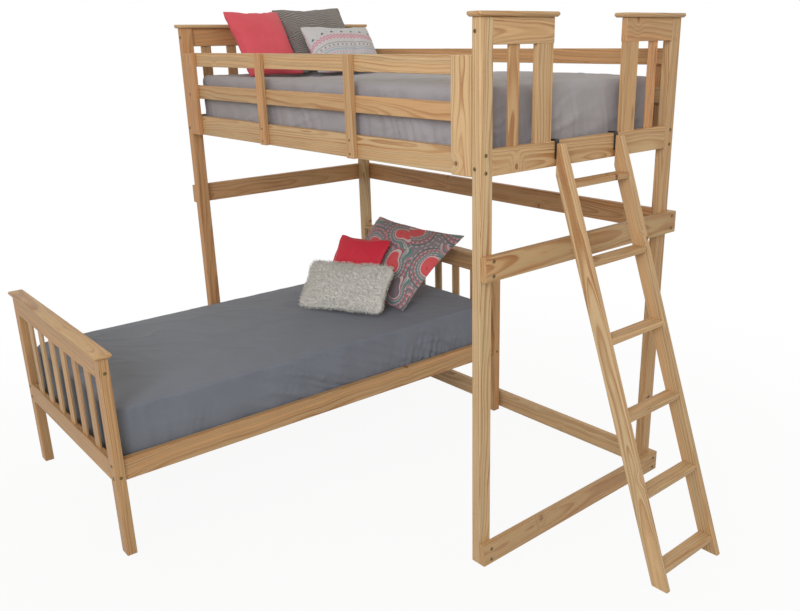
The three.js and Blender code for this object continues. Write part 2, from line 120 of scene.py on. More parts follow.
# Knots: branches that run outwards from the pith, one in some 20 cm of trunk, few of them met
spread = add(tree, "Math MULTIPLY", [axes["X"], 4.6])
third = add(tree, "Math MULTIPLY", [turn, 0.33])
bark = add(tree, "CombineXYZ", [spread, third])
branches = add(tree, "TexVoronoi", {"Vector": bark, "Scale": 1.0}, voronoi_dimensions="2D")
met = add(tree, "SeparateColor", [branches.outputs["Color"]])
chosen = add(tree, "Math GREATER_THAN", [met, 0.78])
swirl = add(tree, "MapRange", [branches.outputs["Distance"], 0.0, 0.2, 1.0, 0.0],
            interpolation_type="SMOOTHSTEP")
pull = add(tree, "Math MULTIPLY", [swirl, chosen])
knot = add(tree, "MapRange", [branches.outputs["Distance"], 0.028, 0.045, 1.0, 0.0])
knot = add(tree, "Math MULTIPLY", [knot, chosen])
# Year rings, of uneven width, a cone's taper along the trunk and the swirl round each knot
rings = add(tree, "Math MULTIPLY", [radius, 1 / RING])
rings = add(tree, "Math MULTIPLY_ADD", [axes["X"], 3.0, rings])
rings = add(tree, "Math MULTIPLY_ADD", [pull, 2.6, rings])
uneven = add(tree, "TexNoise", {"W": rings, "Scale": 0.45}, noise_dimensions="1D")
rings = add(tree, "Math MULTIPLY_ADD", [uneven, 2.4, rings])
year = add(tree, "Math FRACT", [rings])
season = add(tree, "MapRange", [year, 0.3, 0.9], interpolation_type="SMOOTHSTEP")
stop = add(tree, "MapRange", [year, 0.9, 1.0, 1.0, 0.0])
late = add(tree, "Math MULTIPLY", [season, stop])
threads = add(tree, "VectorMath MULTIPLY", [trunk, (9, 420, 420)])
fibre = add(tree, "TexNoise", {"Vector": threads, "Scale": 1.0, "Detail": 3.0})
patch = add(tree, "TexNoise", {"Vector": slow, "Scale": 1.7, "Detail": 1.0})
late = add(tree, "Math MULTIPLY", [patch, late])
late = add(tree, "Math MULTIPLY", [late, 1.5], use_clamp=True)
tone = add(tree, "ValToRGB", [number], stops=[(0.0, "#d6b98c"), (0.5, "#c3a072"), (1.0, "#cf9b69")])
# Wide bands of pinker and of greyer wood, as the tree grew in better and in poorer years
broad = add(tree, "TexNoise", {"W": rings, "Scale": 0.21, "Detail": 1.0}, noise_dimensions="1D")
broad = add(tree, "MapRange", [broad, 0.38, 0.62])
tint = add(tree, "Mix RGBA", {0: broad, 6: (0.95, 1.0, 1.06, 1), 7: (1.06, 0.98, 0.94, 1)})
tone = add(tree, "VectorMath MULTIPLY", [tone, tint])
wood = add(tree, "Mix RGBA", {0: late, 6: tone, 7: "#a06d3c"})
streak = add(tree, "MapRange", [fibre, 0.3, 0.7, 0.86, 1.08])
wood = add(tree, "VectorMath SCALE", {0: wood, 3: streak})
heart = add(tree, "Mix RGBA", {0: season, 6: "#8a5430", 7: "#5e3519"})
wood = add(tree, "Mix RGBA", {0: knot, 6: wood, 7: heart})
matt = add(tree, "MapRange", {0: late, 3: 0.58, 4: 0.44})
ridge = add(tree, "Math MULTIPLY_ADD", [fibre, 0.5, late])
bump = add(tree, "Bump", {"Strength": 0.35, "Distance": 0.0004, "Height": ridge})
plug(shader, {"Base Color": wood, "Roughness": matt, "Normal": bump})

loft = Matrix.Translation(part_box("loft_post_head_front")[0])
dice = random.Random(244818)


def points_of(node, place):
    """A CAD node's points in its bed's own frame, in mm."""
    inverse = place.inverted()
    return np.array([inverse @ v.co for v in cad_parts[node].data.vertices]) / MM


def held(node, place):
    """Lowest and highest corner of a CAD node."""
    points = points_of(node, place)
    return points.min(0), points.max(0)


def eased(shape, grain, ease=EASE):
    """A closed bmesh, in mm, with its edges rounded, as (points, faces, grain, board number)."""
    bmesh.ops.bevel(shape, geom=shape.edges[:], offset=ease, segments=2, profile=0.5,
                    affect="EDGES", clamp_overlap=True)
    bmesh.ops.recalc_face_normals(shape, faces=shape.faces[:])
    points = np.array([v.co for v in shape.verts])
    faces = [[v.index for v in f.verts] for f in shape.faces]
    shape.free()
    middle = (points.min(0) + points.max(0)) / 2
    return points, faces, (points - middle) @ np.array(grain, float).T, np.full(len(points), dice.random())


def board(low, high, ease=EASE):
    """A board between two corners, with its grain along its longest side."""
    low, high = np.array(low, float), np.array(high, float)
    shape = bmesh.new()
    bmesh.ops.create_cube(shape, size=1)
    for vert in shape.verts:
        vert.co = Vector((low + high) / 2 + np.array(vert.co) * (high - low))
    order = np.argsort(low - high)
    return eased(shape, np.eye(3)[order], ease)


def gathered(boards):
    """Several boards as one."""
    points, faces, grain, numbers = zip(*boards)
    starts = np.cumsum([0] + [len(some) for some in points])
    merged = [[start + i for i in face] for start, some in zip(starts, faces) for face in some]
    return np.concatenate(points), merged, np.concatenate(grain), np.concatenate(numbers)


def shown(name, data):
    """A new object at the origin, in the scene."""
    thing = bpy.data.objects.new(name, data)
    bpy.context.scene.collection.objects.link(thing)
    return thing


def raw_mesh(name, some, place):
    """A mesh in the part's frame, with where each point lies in its board."""
    points, faces, grain, numbers = some
    mesh = bpy.data.meshes.new(name)
    mesh.from_pydata([tuple(p) for p in points * MM], [], faces)
    mesh.transform(place)
    mesh.attributes.new("grain", "FLOAT_VECTOR", "POINT").data.foreach_set(
        "vector", (grain * MM).astype(np.float32).ravel())
    if numbers is not None:
        mesh.attributes.new("board", "FLOAT", "POINT").data.foreach_set(
            "value", numbers.astype(np.float32))
    return mesh


def pine_piece(name, body, boards, place, *nodes):
    """Pine boards glued or cut as one piece, shown for their CAD nodes."""
    mesh = raw_mesh(name, gathered(boards), place)
    mesh.materials.append(pine)
    piece = shown(name, mesh)
    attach(piece, body)
    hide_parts(*nodes)
    return piece


def plain_board(node, body, place):
    """One board in place of its CAD node."""
    pine_piece(f"{node}_pine", body, [board(*held(node, place))], place, node)


for end in ("head", "ladder"):
    for side in ("front", "back"):
        plain_board(f"loft_post_{end}_{side}", "loft", loft)


# End panels. A rail, a top board and upright slats between them, tenoned and glued, all of
# pine. The slats are thin laths that sit in a groove down the middle of the boards' edges.

RAIL_HIGH = 85
TOP_BOARD_HIGH = 80
SLAT_WIDE = 50
SLAT_THICK = 9
SLAT_EASE = 1.5
STILE_WIDE = 78
STILE_RECESS = 1.5
TENON = 6


def node_group(name, **inputs):
    """A Geometry Nodes tree, its named inputs' identifiers, and what its inputs give."""
    group = bpy.data.node_groups.new(name, "GeometryNodeTree")

    def socket(name, way, kind):
        made = group.interface.new_socket(name, in_out=way, socket_type=f"NodeSocket{kind}")
        return made.identifier

    socket("Geometry", "INPUT", "Geometry")
    sockets = {key: socket(key, "INPUT", kind) for key, kind in inputs.items()}
    socket("Geometry", "OUTPUT", "Geometry")
    return group, sockets, add(group, "NodeGroupInput").outputs


def finished(group, geometry, finish):
    """Ends a tree: its instances are made real and get their material."""
    real = add(group, "GeometryNodeRealizeInstances", [geometry])
    done = add(group, "GeometryNodeSetMaterial", {"Geometry": real, "Material": finish})
    add(group, "NodeGroupOutput", [done])


row, row_inputs, given = node_group("row of like boards", Count="Int", Step="Vector", Seed="Int",
                                    Finish="Material")
line = add(row, "GeometryNodeMeshLine", {"Count": given["Count"], "Offset": given["Step"]})
copies = add(row, "GeometryNodeInstanceOnPoints", {"Points": line, "Instance": given["Geometry"]})
index = add(row, "GeometryNodeInputIndex")
throw = add(row, "FunctionNodeRandomValue", {2: 0.05, 3: 0.6, "ID": index, "Seed": given["Seed"]})
told = add(row, "GeometryNodeStoreNamedAttribute",
           {"Geometry": copies, "Name": "board", "Value": throw}, data_type="FLOAT", domain="INSTANCE")
finished(row, told, given["Finish"])


def grown(mesh, group, sockets, **values):
    """What a geometry node group makes of a mesh, as a plain mesh."""
    holder = shown("holder", mesh)
    modifier = holder.modifiers.new("nodes", "NODES")
    modifier.node_group = group
    for key, value in values.items():
        modifier[sockets[key]] = value
    bpy.context.view_layer.update()
    graph = bpy.context.evaluated_depsgraph_get()
    result = bpy.data.meshes.new_from_object(
        holder.evaluated_get(graph), preserve_all_data_layers=True, depsgraph=graph)
    bpy.data.objects.remove(holder)
    return result


def repeated(one, count, step):
    """A row of like boards, each from its own part of a tree."""
    mesh = raw_mesh("board", (one[0], one[1], one[2], None), Matrix.Identity(4))
    mesh = grown(mesh, row, row_inputs, Count=count, Step=[float(s) * MM for s in step],
                 Seed=dice.randrange(1000), Finish=pine)
    points = np.array([v.co for v in mesh.vertices]) / MM
    faces = [list(p.vertices) for p in mesh.polygons]
    grain = np.array([v.vector for v in mesh.attributes["grain"].data]) / MM
    numbers = np.array([v.value for v in mesh.attributes["board"].data])
    return points, faces, grain, numbers


def end_panel(name, body, place, node, slat_count, slat_end_gap):
    """A panel as wide as the bed, between its two posts."""
    low, high = held(node, place)
    boards = [
        board(low, (high[0], high[1], low[2] + RAIL_HIGH)),
        board((low[0], low[1], high[2] - TOP_BOARD_HIGH), high),
    ]
    first = low[1] + slat_end_gap
    pitch = (high[1] - slat_end_gap - SLAT_WIDE - first) / (slat_count - 1)
    recess = (high[0] - low[0] - SLAT_THICK) / 2
    slat = board((low[0] + recess, first, low[2] + RAIL_HIGH - TENON),
                 (high[0] - recess, first + SLAT_WIDE, high[2] - TOP_BOARD_HIGH + TENON), SLAT_EASE)
    boards.append(repeated(slat, slat_count, (0, pitch, 0)))
    pine_piece(name, body, boards, place, node)


end_panel("loft_head_panel_pine", "loft", loft, "loft_head_panel", 7, 48)

# The ladder end has a short wing on each side of the gap: a top board, a wide stile at the gap
# and one slat between the stile and the post
CAP_OVERHANG = 12
low, high = held("loft_ladder_end_panel", loft)
bed_wide = low[1] + high[1]
wing_wide = held("loft_ladder_end_cap_front", loft)[1][1] - CAP_OVERHANG
slat_low = (low[1] + wing_wide - STILE_WIDE - SLAT_WIDE) / 2
board_low = high[2] - TOP_BOARD_HIGH
tenons = (low[2] + RAIL_HIGH - TENON, board_low + TENON)
boards = [board(low, (high[0], high[1], low[2] + RAIL_HIGH))]
for near in (True, False):
    for start, end, (bottom, top), recess in (
            (low[1], wing_wide, (board_low, high[2]), 0),
            (wing_wide - STILE_WIDE, wing_wide - STILE_RECESS, tenons, STILE_RECESS),
            (slat_low, slat_low + SLAT_WIDE, tenons, (high[0] - low[0] - SLAT_THICK) / 2)):
        across = (start, end) if near else (bed_wide - end, bed_wide - start)
        boards.append(board((low[0] + recess, across[0], bottom), (high[0] - recess, across[1], top)))
pine_piece("loft_ladder_end_panel_pine", "loft", boards, loft, "loft_ladder_end_panel")


# Top caps. A pine strip over each panel and its posts, run through a moulder: a small bead
# at its foot, then a full rounded nose that stands proud all round.

CAP_PROFILE = [(6.0, 0.0), (7.4, 0.6), (8.3, 1.8), (8.6, 3.2), (10.2, 3.6), (11.3, 4.9), (11.9, 6.8),
               (12.0, 9.4), (11.7, 12.0), (10.9, 14.2), (9.6, 15.5), (8.2, 16.0)]
CAP_HIGH = 16
CAP_CORNER = 3
CORNER_STEPS = 5


def cap(name, body, place, node):
    """A moulded strip that fills the CAD cap's box, with mitred, softly rounded corners."""
    low, high = held(node, place)
    points, faces = [], []
    for out, rise in CAP_PROFILE:
        inset = CAP_OVERHANG - out
        for corner, (sx, sy) in enumerate(((1, 1), (-1, 1), (-1, -1), (1, -1))):
            x = (high[0] if sx > 0 else low[0]) - sx * (inset + CAP_CORNER)
            y = (high[1] if sy > 0 else low[1]) - sy * (inset + CAP_CORNER)
            for step in range(CORNER_STEPS):
                angle = (corner + step / (CORNER_STEPS - 1)) * math.pi / 2
                points.append((x + CAP_CORNER * math.cos(angle), y + CAP_CORNER * math.sin(angle),
                               low[2] + rise / CAP_HIGH * (high[2] - low[2])))
    count = 4 * CORNER_STEPS
    for ring in range(len(CAP_PROFILE) - 1):
        for step in range(count):
            a, b = ring * count + step, ring * count + (step + 1) % count
            faces.append([a, b, b + count, a + count])
    faces.append(list(range(count))[::-1])
    faces.append([len(points) - count + i for i in range(count)])
    points = np.array(points)
    grain = (points - points.mean(0))[:, [1, 0, 2]]
    made = (points, faces, grain, np.full(len(points), dice.random()))
    piece = pine_piece(name, body, [made], place, node)
    for face in piece.data.polygons:
        face.use_smooth = len(face.vertices) == 4
    piece.data.set_sharp_from_angle(angle=math.radians(38))


for node in ("loft_head_cap", "loft_ladder_end_cap_front", "loft_ladder_end_cap_back"):
    cap(f"{node}_pine", "loft", loft, node)


# Side rails. A deep pine rail along each side, with a square cleat glued and screwed along
# its inner face, which carries the slats.

CLEAT = 22


def side_rail(name, body, place, node, toward):
    """A rail with its cleat on the side that the bed's middle is."""
    low, high = held(node, place)
    if toward > 0:
        rail, cleat = (low[1], high[1] - CLEAT), (high[1] - CLEAT - 0.5, high[1])
    else:
        rail, cleat = (low[1] + CLEAT, high[1]), (low[1], low[1] + CLEAT + 0.5)
    boards = [board((low[0], rail[0], low[2]), (high[0], rail[1], high[2])),
              board((low[0], cleat[0], low[2]), (high[0], cleat[1], low[2] + CLEAT), 1)]
    pine_piece(name, body, boards, place, node)


side_rail("loft_side_rail_front_pine", "loft", loft, "loft_side_rail_front", 1)
side_rail("loft_side_rail_back_pine", "loft", loft, "loft_side_rail_back", -1)


# Guards and stretchers. Pine boards: two rails to each long side and four uprights screwed to
# their outer faces, and a stretcher at mid height and at the floor on the ends and the back.

for side in ("front", "back"):
    for part in ("mid_rail", "top_rail", "upright_head_end", "upright_head", "upright_foot",
                 "upright_ladder_end"):
        plain_board(f"loft_guard_{side}_{part}", "loft", loft)
for level in ("mid", "low"):
    for end in ("head", "ladder", "back"):
        plain_board(f"loft_stretcher_{level}_{end}", "loft", loft)


# Slat rolls. Fourteen rough-sawn pine slats stapled to two woven straps, rolled out over the
# cleats. They carry the mattress, which hides all but their undersides.

BASE_SLATS = 14
BASE_SLAT_WIDE = 70
STRAP_WIDE = 30
STRAP_THICK = 2
STRAP_INSET = 0.25

webbing, tree, shader = surface("polyester webbing", 0.8)
where = add(tree, "TexCoord").outputs["Object"]
weft = add(tree, "TexWave", {"Vector": where, "Scale": 120.0}, bands_direction="DIAGONAL").outputs[1]
cloth = add(tree, "Mix RGBA", {0: weft, 6: "#d8d4cc", 7: "#bdb8ae"})
plug(shader, {"Base Color": cloth, "Normal": add(tree, "Bump", {"Distance": 0.0003, "Height": weft})})


def slat_roll(name, body, place, node):
    """The slats as one pine piece over two straps."""
    low, high = held(node, place)
    bottom = low[2] + STRAP_THICK
    slat = board((low[0], low[1], bottom), (low[0] + BASE_SLAT_WIDE, high[1], high[2]))
    pitch = (high[0] - low[0] - BASE_SLAT_WIDE) / (BASE_SLATS - 1)
    piece = pine_piece(name, body, [repeated(slat, BASE_SLATS, (pitch, 0, 0))], place, node)
    straps = []
    for share in (STRAP_INSET, 1 - STRAP_INSET):
        y = low[1] + (high[1] - low[1]) * share
        straps.append(board((low[0], y - STRAP_WIDE / 2, low[2] + 0.4),
                            (high[0], y + STRAP_WIDE / 2, bottom + 0.1), 0.3))
    mesh = raw_mesh(f"{name}_straps", gathered(straps), place)
    mesh.materials.append(webbing)
    strap = shown(f"{name}_straps", mesh)
    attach(strap, body)
    return piece


slat_roll("loft_slats_pine", "loft", loft, "loft_slat_roll")


# Ladder. Two pine stiles cut level at the foot and upright where they meet the end rail, with
# six level treads housed between them.

RUNGS = 6
STILE_DEEP = 60


def stile(name, node):
    """One stile, from the outline of its CAD node, with its grain along its length."""
    points = points_of(node, loft)
    low, high = points.min(0), points.max(0)
    flat = np.unique(np.round(points[:, [0, 2]], 2), axis=0)
    middle = flat.mean(0)
    flat = flat[np.argsort(np.arctan2(flat[:, 1] - middle[1], flat[:, 0] - middle[0]))]
    shape = bmesh.new()
    face = shape.faces.new([shape.verts.new((x, low[1], z)) for x, z in flat])
    grown_face = bmesh.ops.extrude_face_region(shape, geom=[face])
    bmesh.ops.translate(shape, vec=(0, high[1] - low[1], 0),
                        verts=[v for v in grown_face["geom"] if isinstance(v, bmesh.types.BMVert)])
    foot, top = flat[flat[:, 1] < 1], flat[flat[:, 1] > high[2] - 1]
    slope = np.array([top[:, 0].max() - foot[:, 0].max(), high[2]])
    along = slope / np.linalg.norm(slope)
    grain = [[along[0], 0, along[1]], [along[1], 0, -along[0]], [0, 1, 0]]
    pine_piece(name, "ladder", [eased(shape, grain)], loft, node)


stile("ladder_stile_front_pine", "ladder_stile_front")
stile("ladder_stile_back_pine", "ladder_stile_back")
first, last = held("ladder_rung_1", loft), held(f"ladder_rung_{RUNGS}", loft)
treads = repeated(board(*first), RUNGS, (last[0] - first[0]) / (RUNGS - 1))
pine_piece("ladder_rungs_pine", "ladder", [treads], loft, *[f"ladder_rung_{i + 1}" for i in range(RUNGS)])


# Ladder hooks. Flat steel strap, bent over the end rail and screwed to the stiles' upright
# cuts, powder-coated black: satin, with a faint orange peel.

HOOK_BEND = 4
HOOK_THICK = 3.2
HOOK_INNER_LEG = 32
HOOK_SHIFTS = (-8, -4)

coated, tree, shader = surface("black powder coat", 0.42, IOR=1.5)
where = add(tree, "TexCoord").outputs["Object"]
peel = add(tree, "TexNoise", {"Vector": where, "Scale": 900.0, "Detail": 1.0})
worn = add(tree, "TexNoise", {"Vector": where, "Scale": 60.0, "Detail": 3.0})
black = add(tree, "Mix RGBA", {0: worn, 6: "#141414", 7: "#232324"})
plug(shader, {"Base Color": black, "Normal": add(tree, "Bump",
    {"Strength": 0.4, "Distance": 0.0002, "Height": peel})})


def hook(name, node):
    """A strap of even thickness along a bent line, inside the CAD hook's outline."""
    low, high = held(node, loft)
    low[1], high[1] = low[1] + HOOK_SHIFTS[0], high[1] + HOOK_SHIFTS[1]
    half = HOOK_THICK / 2
    outer, inner, top = high[0] - half - 0.2, low[0] + half + 1, high[2] - half
    quarter = np.linspace(0, math.pi / 2, 5)
    line = np.array(
        [(outer, low[2] + 1), (outer, top - HOOK_BEND)]
        + [(outer - HOOK_BEND * (1 - math.cos(a)), top - HOOK_BEND * (1 - math.sin(a)))
           for a in quarter[1:]]
        + [(inner + HOOK_BEND * (1 - math.sin(a)), top - HOOK_BEND * (1 - math.cos(a)))
           for a in quarter]
        + [(inner, low[2] + HOOK_INNER_LEG)])
    step = np.gradient(line, axis=0)
    side = np.stack([step[:, 1], -step[:, 0]], 1) / np.linalg.norm(step, axis=1)[:, None]
    shape = bmesh.new()
    rows = []
    for point, out in zip(line, side):
        corners = [(point + out * half * s, y) for s, y in
                   ((1, low[1]), (1, high[1]), (-1, high[1]), (-1, low[1]))]
        rows.append([shape.verts.new((p[0], y, p[1])) for p, y in corners])
    for a, b in zip(rows, rows[1:]):
        for i in range(4):
            shape.faces.new((a[i], a[(i + 1) % 4], b[(i + 1) % 4], b[i]))
    shape.faces.new(rows[0])
    shape.faces.new(rows[-1][::-1])
    bmesh.ops.recalc_face_normals(shape, faces=shape.faces[:])
    mesh = bpy.data.meshes.new(name)
    shape.to_mesh(mesh)
    shape.free()
    mesh.transform(loft @ Matrix.Scale(MM, 4))
    mesh.materials.append(coated)
    piece = shown(name, mesh)
    edges = piece.modifiers.new("edges", "BEVEL")
    edges.width, edges.segments, edges.limit_method = 0.5 * MM, 2, "ANGLE"
    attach(piece, "ladder")
    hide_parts(node)


hook("ladder_hook_front_strap", "ladder_hook_front")
hook("ladder_hook_back_strap", "ladder_hook_back")


# Lower bed. A freestanding twin bed of the same pine and the same make, turned a little out
# of square beneath the loft, with six slats to each end panel.

SKEW = math.radians(1.36)
corner = max((v.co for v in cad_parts["lower_post_head_left"].data.vertices), key=lambda p: p.y)
lower = Matrix.Translation((corner.x, corner.y, 0)) @ Matrix.Rotation(-math.pi / 2 - SKEW, 4, "Z")
dice.seed(9093)
for end in ("head", "foot"):
    for side in ("left", "right"):
        plain_board(f"lower_post_{end}_{side}", "lower_bed", lower)
    end_panel(f"lower_{end}_panel_pine", "lower_bed", lower, f"lower_{end}_panel", 6, 101)
    cap(f"lower_{end}_cap_pine", "lower_bed", lower, f"lower_{end}_cap")
side_rail("lower_side_rail_left_pine", "lower_bed", lower, "lower_side_rail_left", 1)
side_rail("lower_side_rail_right_pine", "lower_bed", lower, "lower_side_rail_right", -1)
slat_roll("lower_slats_pine", "lower_bed", lower, "lower_slat_roll")


# Bolts. Steel connector bolts with a low round head and a hexagon socket, plated an antique
# brass that has gone dull, driven into cross dowels. Screws hold the guards' uprights.

BOLT_WIDE = 13
BOLT_HIGH = 2.2
BOLT_SIDES = 18
ROUND_RINGS = 4
SCREW_SHARE = 0.62

brass, tree, shader = surface("antique brass plate", 0.42, Metallic=1.0)
where = add(tree, "TexCoord").outputs["Object"]
tarnish = add(tree, "TexNoise", {"Vector": where, "Scale": 350.0, "Detail": 3.0})
tone = add(tree, "Mix RGBA", {0: tarnish, 6: "#4e432c", 7: "#8f7d55"})
plug(shader, {"Base Color": tone, "Roughness": add(tree, "MapRange", {0: tarnish, 3: 0.32, 4: 0.55})})

fixings, fixing_inputs, given = node_group("bolts at marked places", Bolt="Object", Finish="Material")
bolt = add(fixings, "GeometryNodeObjectInfo", {"Object": given["Bolt"]}).outputs["Geometry"]
facing = add(fixings, "GeometryNodeInputNamedAttribute", {"Name": "facing"}, data_type="FLOAT_VECTOR")
sized = add(fixings, "GeometryNodeInputNamedAttribute", {"Name": "sized"}, data_type="FLOAT")
turned = add(fixings, "FunctionNodeAlignRotationToVector", {"Vector": facing}, axis="Z")
spun = add(fixings, "FunctionNodeRandomValue", {2: 0.0, 3: 1.0, "Seed": 5})
spin = add(fixings, "CombineXYZ", {2: spun})
screwed = add(fixings, "FunctionNodeRotateRotation", [turned, spin], rotation_space="LOCAL")
heads = add(fixings, "GeometryNodeInstanceOnPoints", {
    "Points": given["Geometry"], "Instance": bolt, "Rotation": screwed, "Scale": sized})
finished(fixings, heads, given["Finish"])

shape = bmesh.new()
half = BOLT_WIDE / 2
outline = [(half, -0.3), (half, 0.9), (half * 0.9, 1.7), (half * 0.72, BOLT_HIGH), (2.7, BOLT_HIGH),
           (2.5, 1.9), (2.5, 0.5)]
rings = []
for index, (reach, rise) in enumerate(outline):
    in_socket = index >= ROUND_RINGS
    turns = [round(i / 3) * math.pi / 3 if in_socket else i * math.pi / 9 for i in range(BOLT_SIDES)]
    rings.append([shape.verts.new((reach * math.cos(a), reach * math.sin(a), rise)) for a in turns])
for a, b in zip(rings, rings[1:]):
    for i in range(BOLT_SIDES):
        after = (i + 1) % BOLT_SIDES
        shape.faces.new((a[i], a[after], b[after], b[i]))
shape.faces.new(rings[0][::-1])
shape.faces.new(rings[-1])
bmesh.ops.remove_doubles(shape, verts=shape.verts[:], dist=0.01)
bmesh.ops.dissolve_degenerate(shape, edges=shape.edges[:], dist=0.01)
bmesh.ops.recalc_face_normals(shape, faces=shape.faces[:])
head_mesh = bpy.data.meshes.new("bolt head")
shape.to_mesh(head_mesh)
shape.free()
head_mesh.transform(Matrix.Scale(MM, 4))
bolt_head = bpy.data.objects.new("bolt head", head_mesh)


def bolts(name, body, place, marks):
    """All of one body's bolts, from marks of (place in mm, facing, size)."""
    mesh = bpy.data.meshes.new("marks")
    mesh.from_pydata([place @ (Vector(m[0]) * MM) for m in marks], [], [])
    turn = place.to_3x3()
    mesh.attributes.new("facing", "FLOAT_VECTOR", "POINT").data.foreach_set(
        "vector", [c for m in marks for c in turn @ Vector(m[1])])
    mesh.attributes.new("sized", "FLOAT", "POINT").data.foreach_set("value", [m[2] for m in marks])
    made = grown(mesh, fixings, fixing_inputs, Bolt=bolt_head, Finish=brass)
    made.name = name
    piece = shown(name, made)
    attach(piece, body)


FRONT, BACK, HEAD, FOOT = (0, -1, 0), (0, 1, 0), (-1, 0, 0), (1, 0, 0)
loft_long = held("loft_post_ladder_front", loft)[1][0]
marks = []
for x, y, facing in ((loft_long - 25, 0, FRONT), (loft_long - 25, bed_wide, BACK),
                     (19, 0, FRONT), (19, bed_wide, BACK)):
    marks += [((x, y, z), facing, 1.0) for z in (1853, 1443)]
for x, facing in ((loft_long, FOOT), (0, HEAD)):
    marks += [((x, y, z), facing, 1.0) for y in (24, bed_wide - 20) for z in (1485, 1430)]
outer = held("loft_stretcher_mid_ladder", loft)[1][0]
far = held("loft_stretcher_mid_back", loft)[1][1]
for x, facing in ((outer, FOOT), (loft_long - outer, HEAD)):
    marks += [((x, y, z), facing, 1.0) for y in (37, bed_wide - 3) for z in (1148, 1098, 62, 18)]
marks += [((x, far, z), BACK, 1.0) for x in (19, loft_long - 19) for z in (1146, 1095, 65, 20)]
for node in ("upright_head", "upright_foot"):
    for side, facing in (("front", FRONT), ("back", BACK)):
        low, high = held(f"loft_guard_{side}_{node}", loft)
        marks += [(((low[0] + high[0]) / 2, low[1] if facing is FRONT else high[1], z), facing, SCREW_SHARE)
                  for z in (1484, 1433)]
bolts("loft_bolts", "loft", loft, marks)

low, high = held("lower_post_foot_right", lower)
marks = []
for y, facing in ((high[1], BACK), (held("lower_post_foot_left", lower)[0][1], FRONT)):
    marks += [((x, y, z), facing, 1.0) for x in (19, low[0] + 19) for z in (740, 326)]
for x, facing in ((high[0], FOOT), (0, HEAD)):
    marks += [((x, y, z), facing, 1.0) for y in (25, high[1] - 25) for z in (371, 320)]
bolts("lower_bed_bolts", "lower_bed", lower, marks)


# Mattresses. Foam mattresses of 1900 by 965 mm in fitted cotton sheets, plain woven in mid
# grey. Elastic draws the sheet under, so folds gather at the corners and run down the sides.

CORNER = 70
THICK = 228
MESH_STEP = 9
GATHER, GATHER_REACH = 9, 150
PULL = 8.0
PLEAT, SLANTED_PLEAT, DRAGGED_PLEAT = 11, 9, 19
CALM_REACH = 480
DRAG_AT, DRAG_REACH = 60, 330
WAIST = 3.0
WAVE, CREASE, RIPPLE = 4.0, 2.8, 0.8
DENT, DENT_REACH = 5, 60


def percale(name, light, dark):
    """Cotton percale in one dye lot. Threads lie some 0.3 mm apart, too fine to show, and are
    drawn about 2 mm apart."""
    material, tree, shader = surface(name, 0.86, Sheen_Weight=0.12, Sheen_Roughness=0.5)
    where = add(tree, "TexCoord").outputs["Object"]
    warp, weft = (add(tree, "TexWave", {"Vector": where, "Scale": 80.0, "Distortion": 0.6},
                      bands_direction=way).outputs[1] for way in "XY")
    weave = add(tree, "Math MULTIPLY", [warp, weft])
    cloudy = add(tree, "TexNoise", {"Vector": where, "Scale": 7.0, "Detail": 4.0})
    slub = add(tree, "TexNoise", {"Vector": where, "Scale": 420.0, "Detail": 2.0})
    shade = add(tree, "Mix RGBA", {0: cloudy, 6: dark, 7: light})
    speck = add(tree, "MapRange", [slub, 0.3, 0.7, 0.94, 1.05])
    shade = add(tree, "VectorMath SCALE", {0: shade, 3: speck})
    relief = add(tree, "Math MULTIPLY_ADD", [slub, 0.8, weave])
    bump = add(tree, "Bump", {"Strength": 0.25, "Distance": 0.0004, "Height": relief})
    plug(shader, {"Base Color": shade, "Normal": bump})
    return material


def swell(x, y, z):
    """A soft random swell at a place, from -1 to 1."""
    return noise.noise(Vector((x, y, z)))


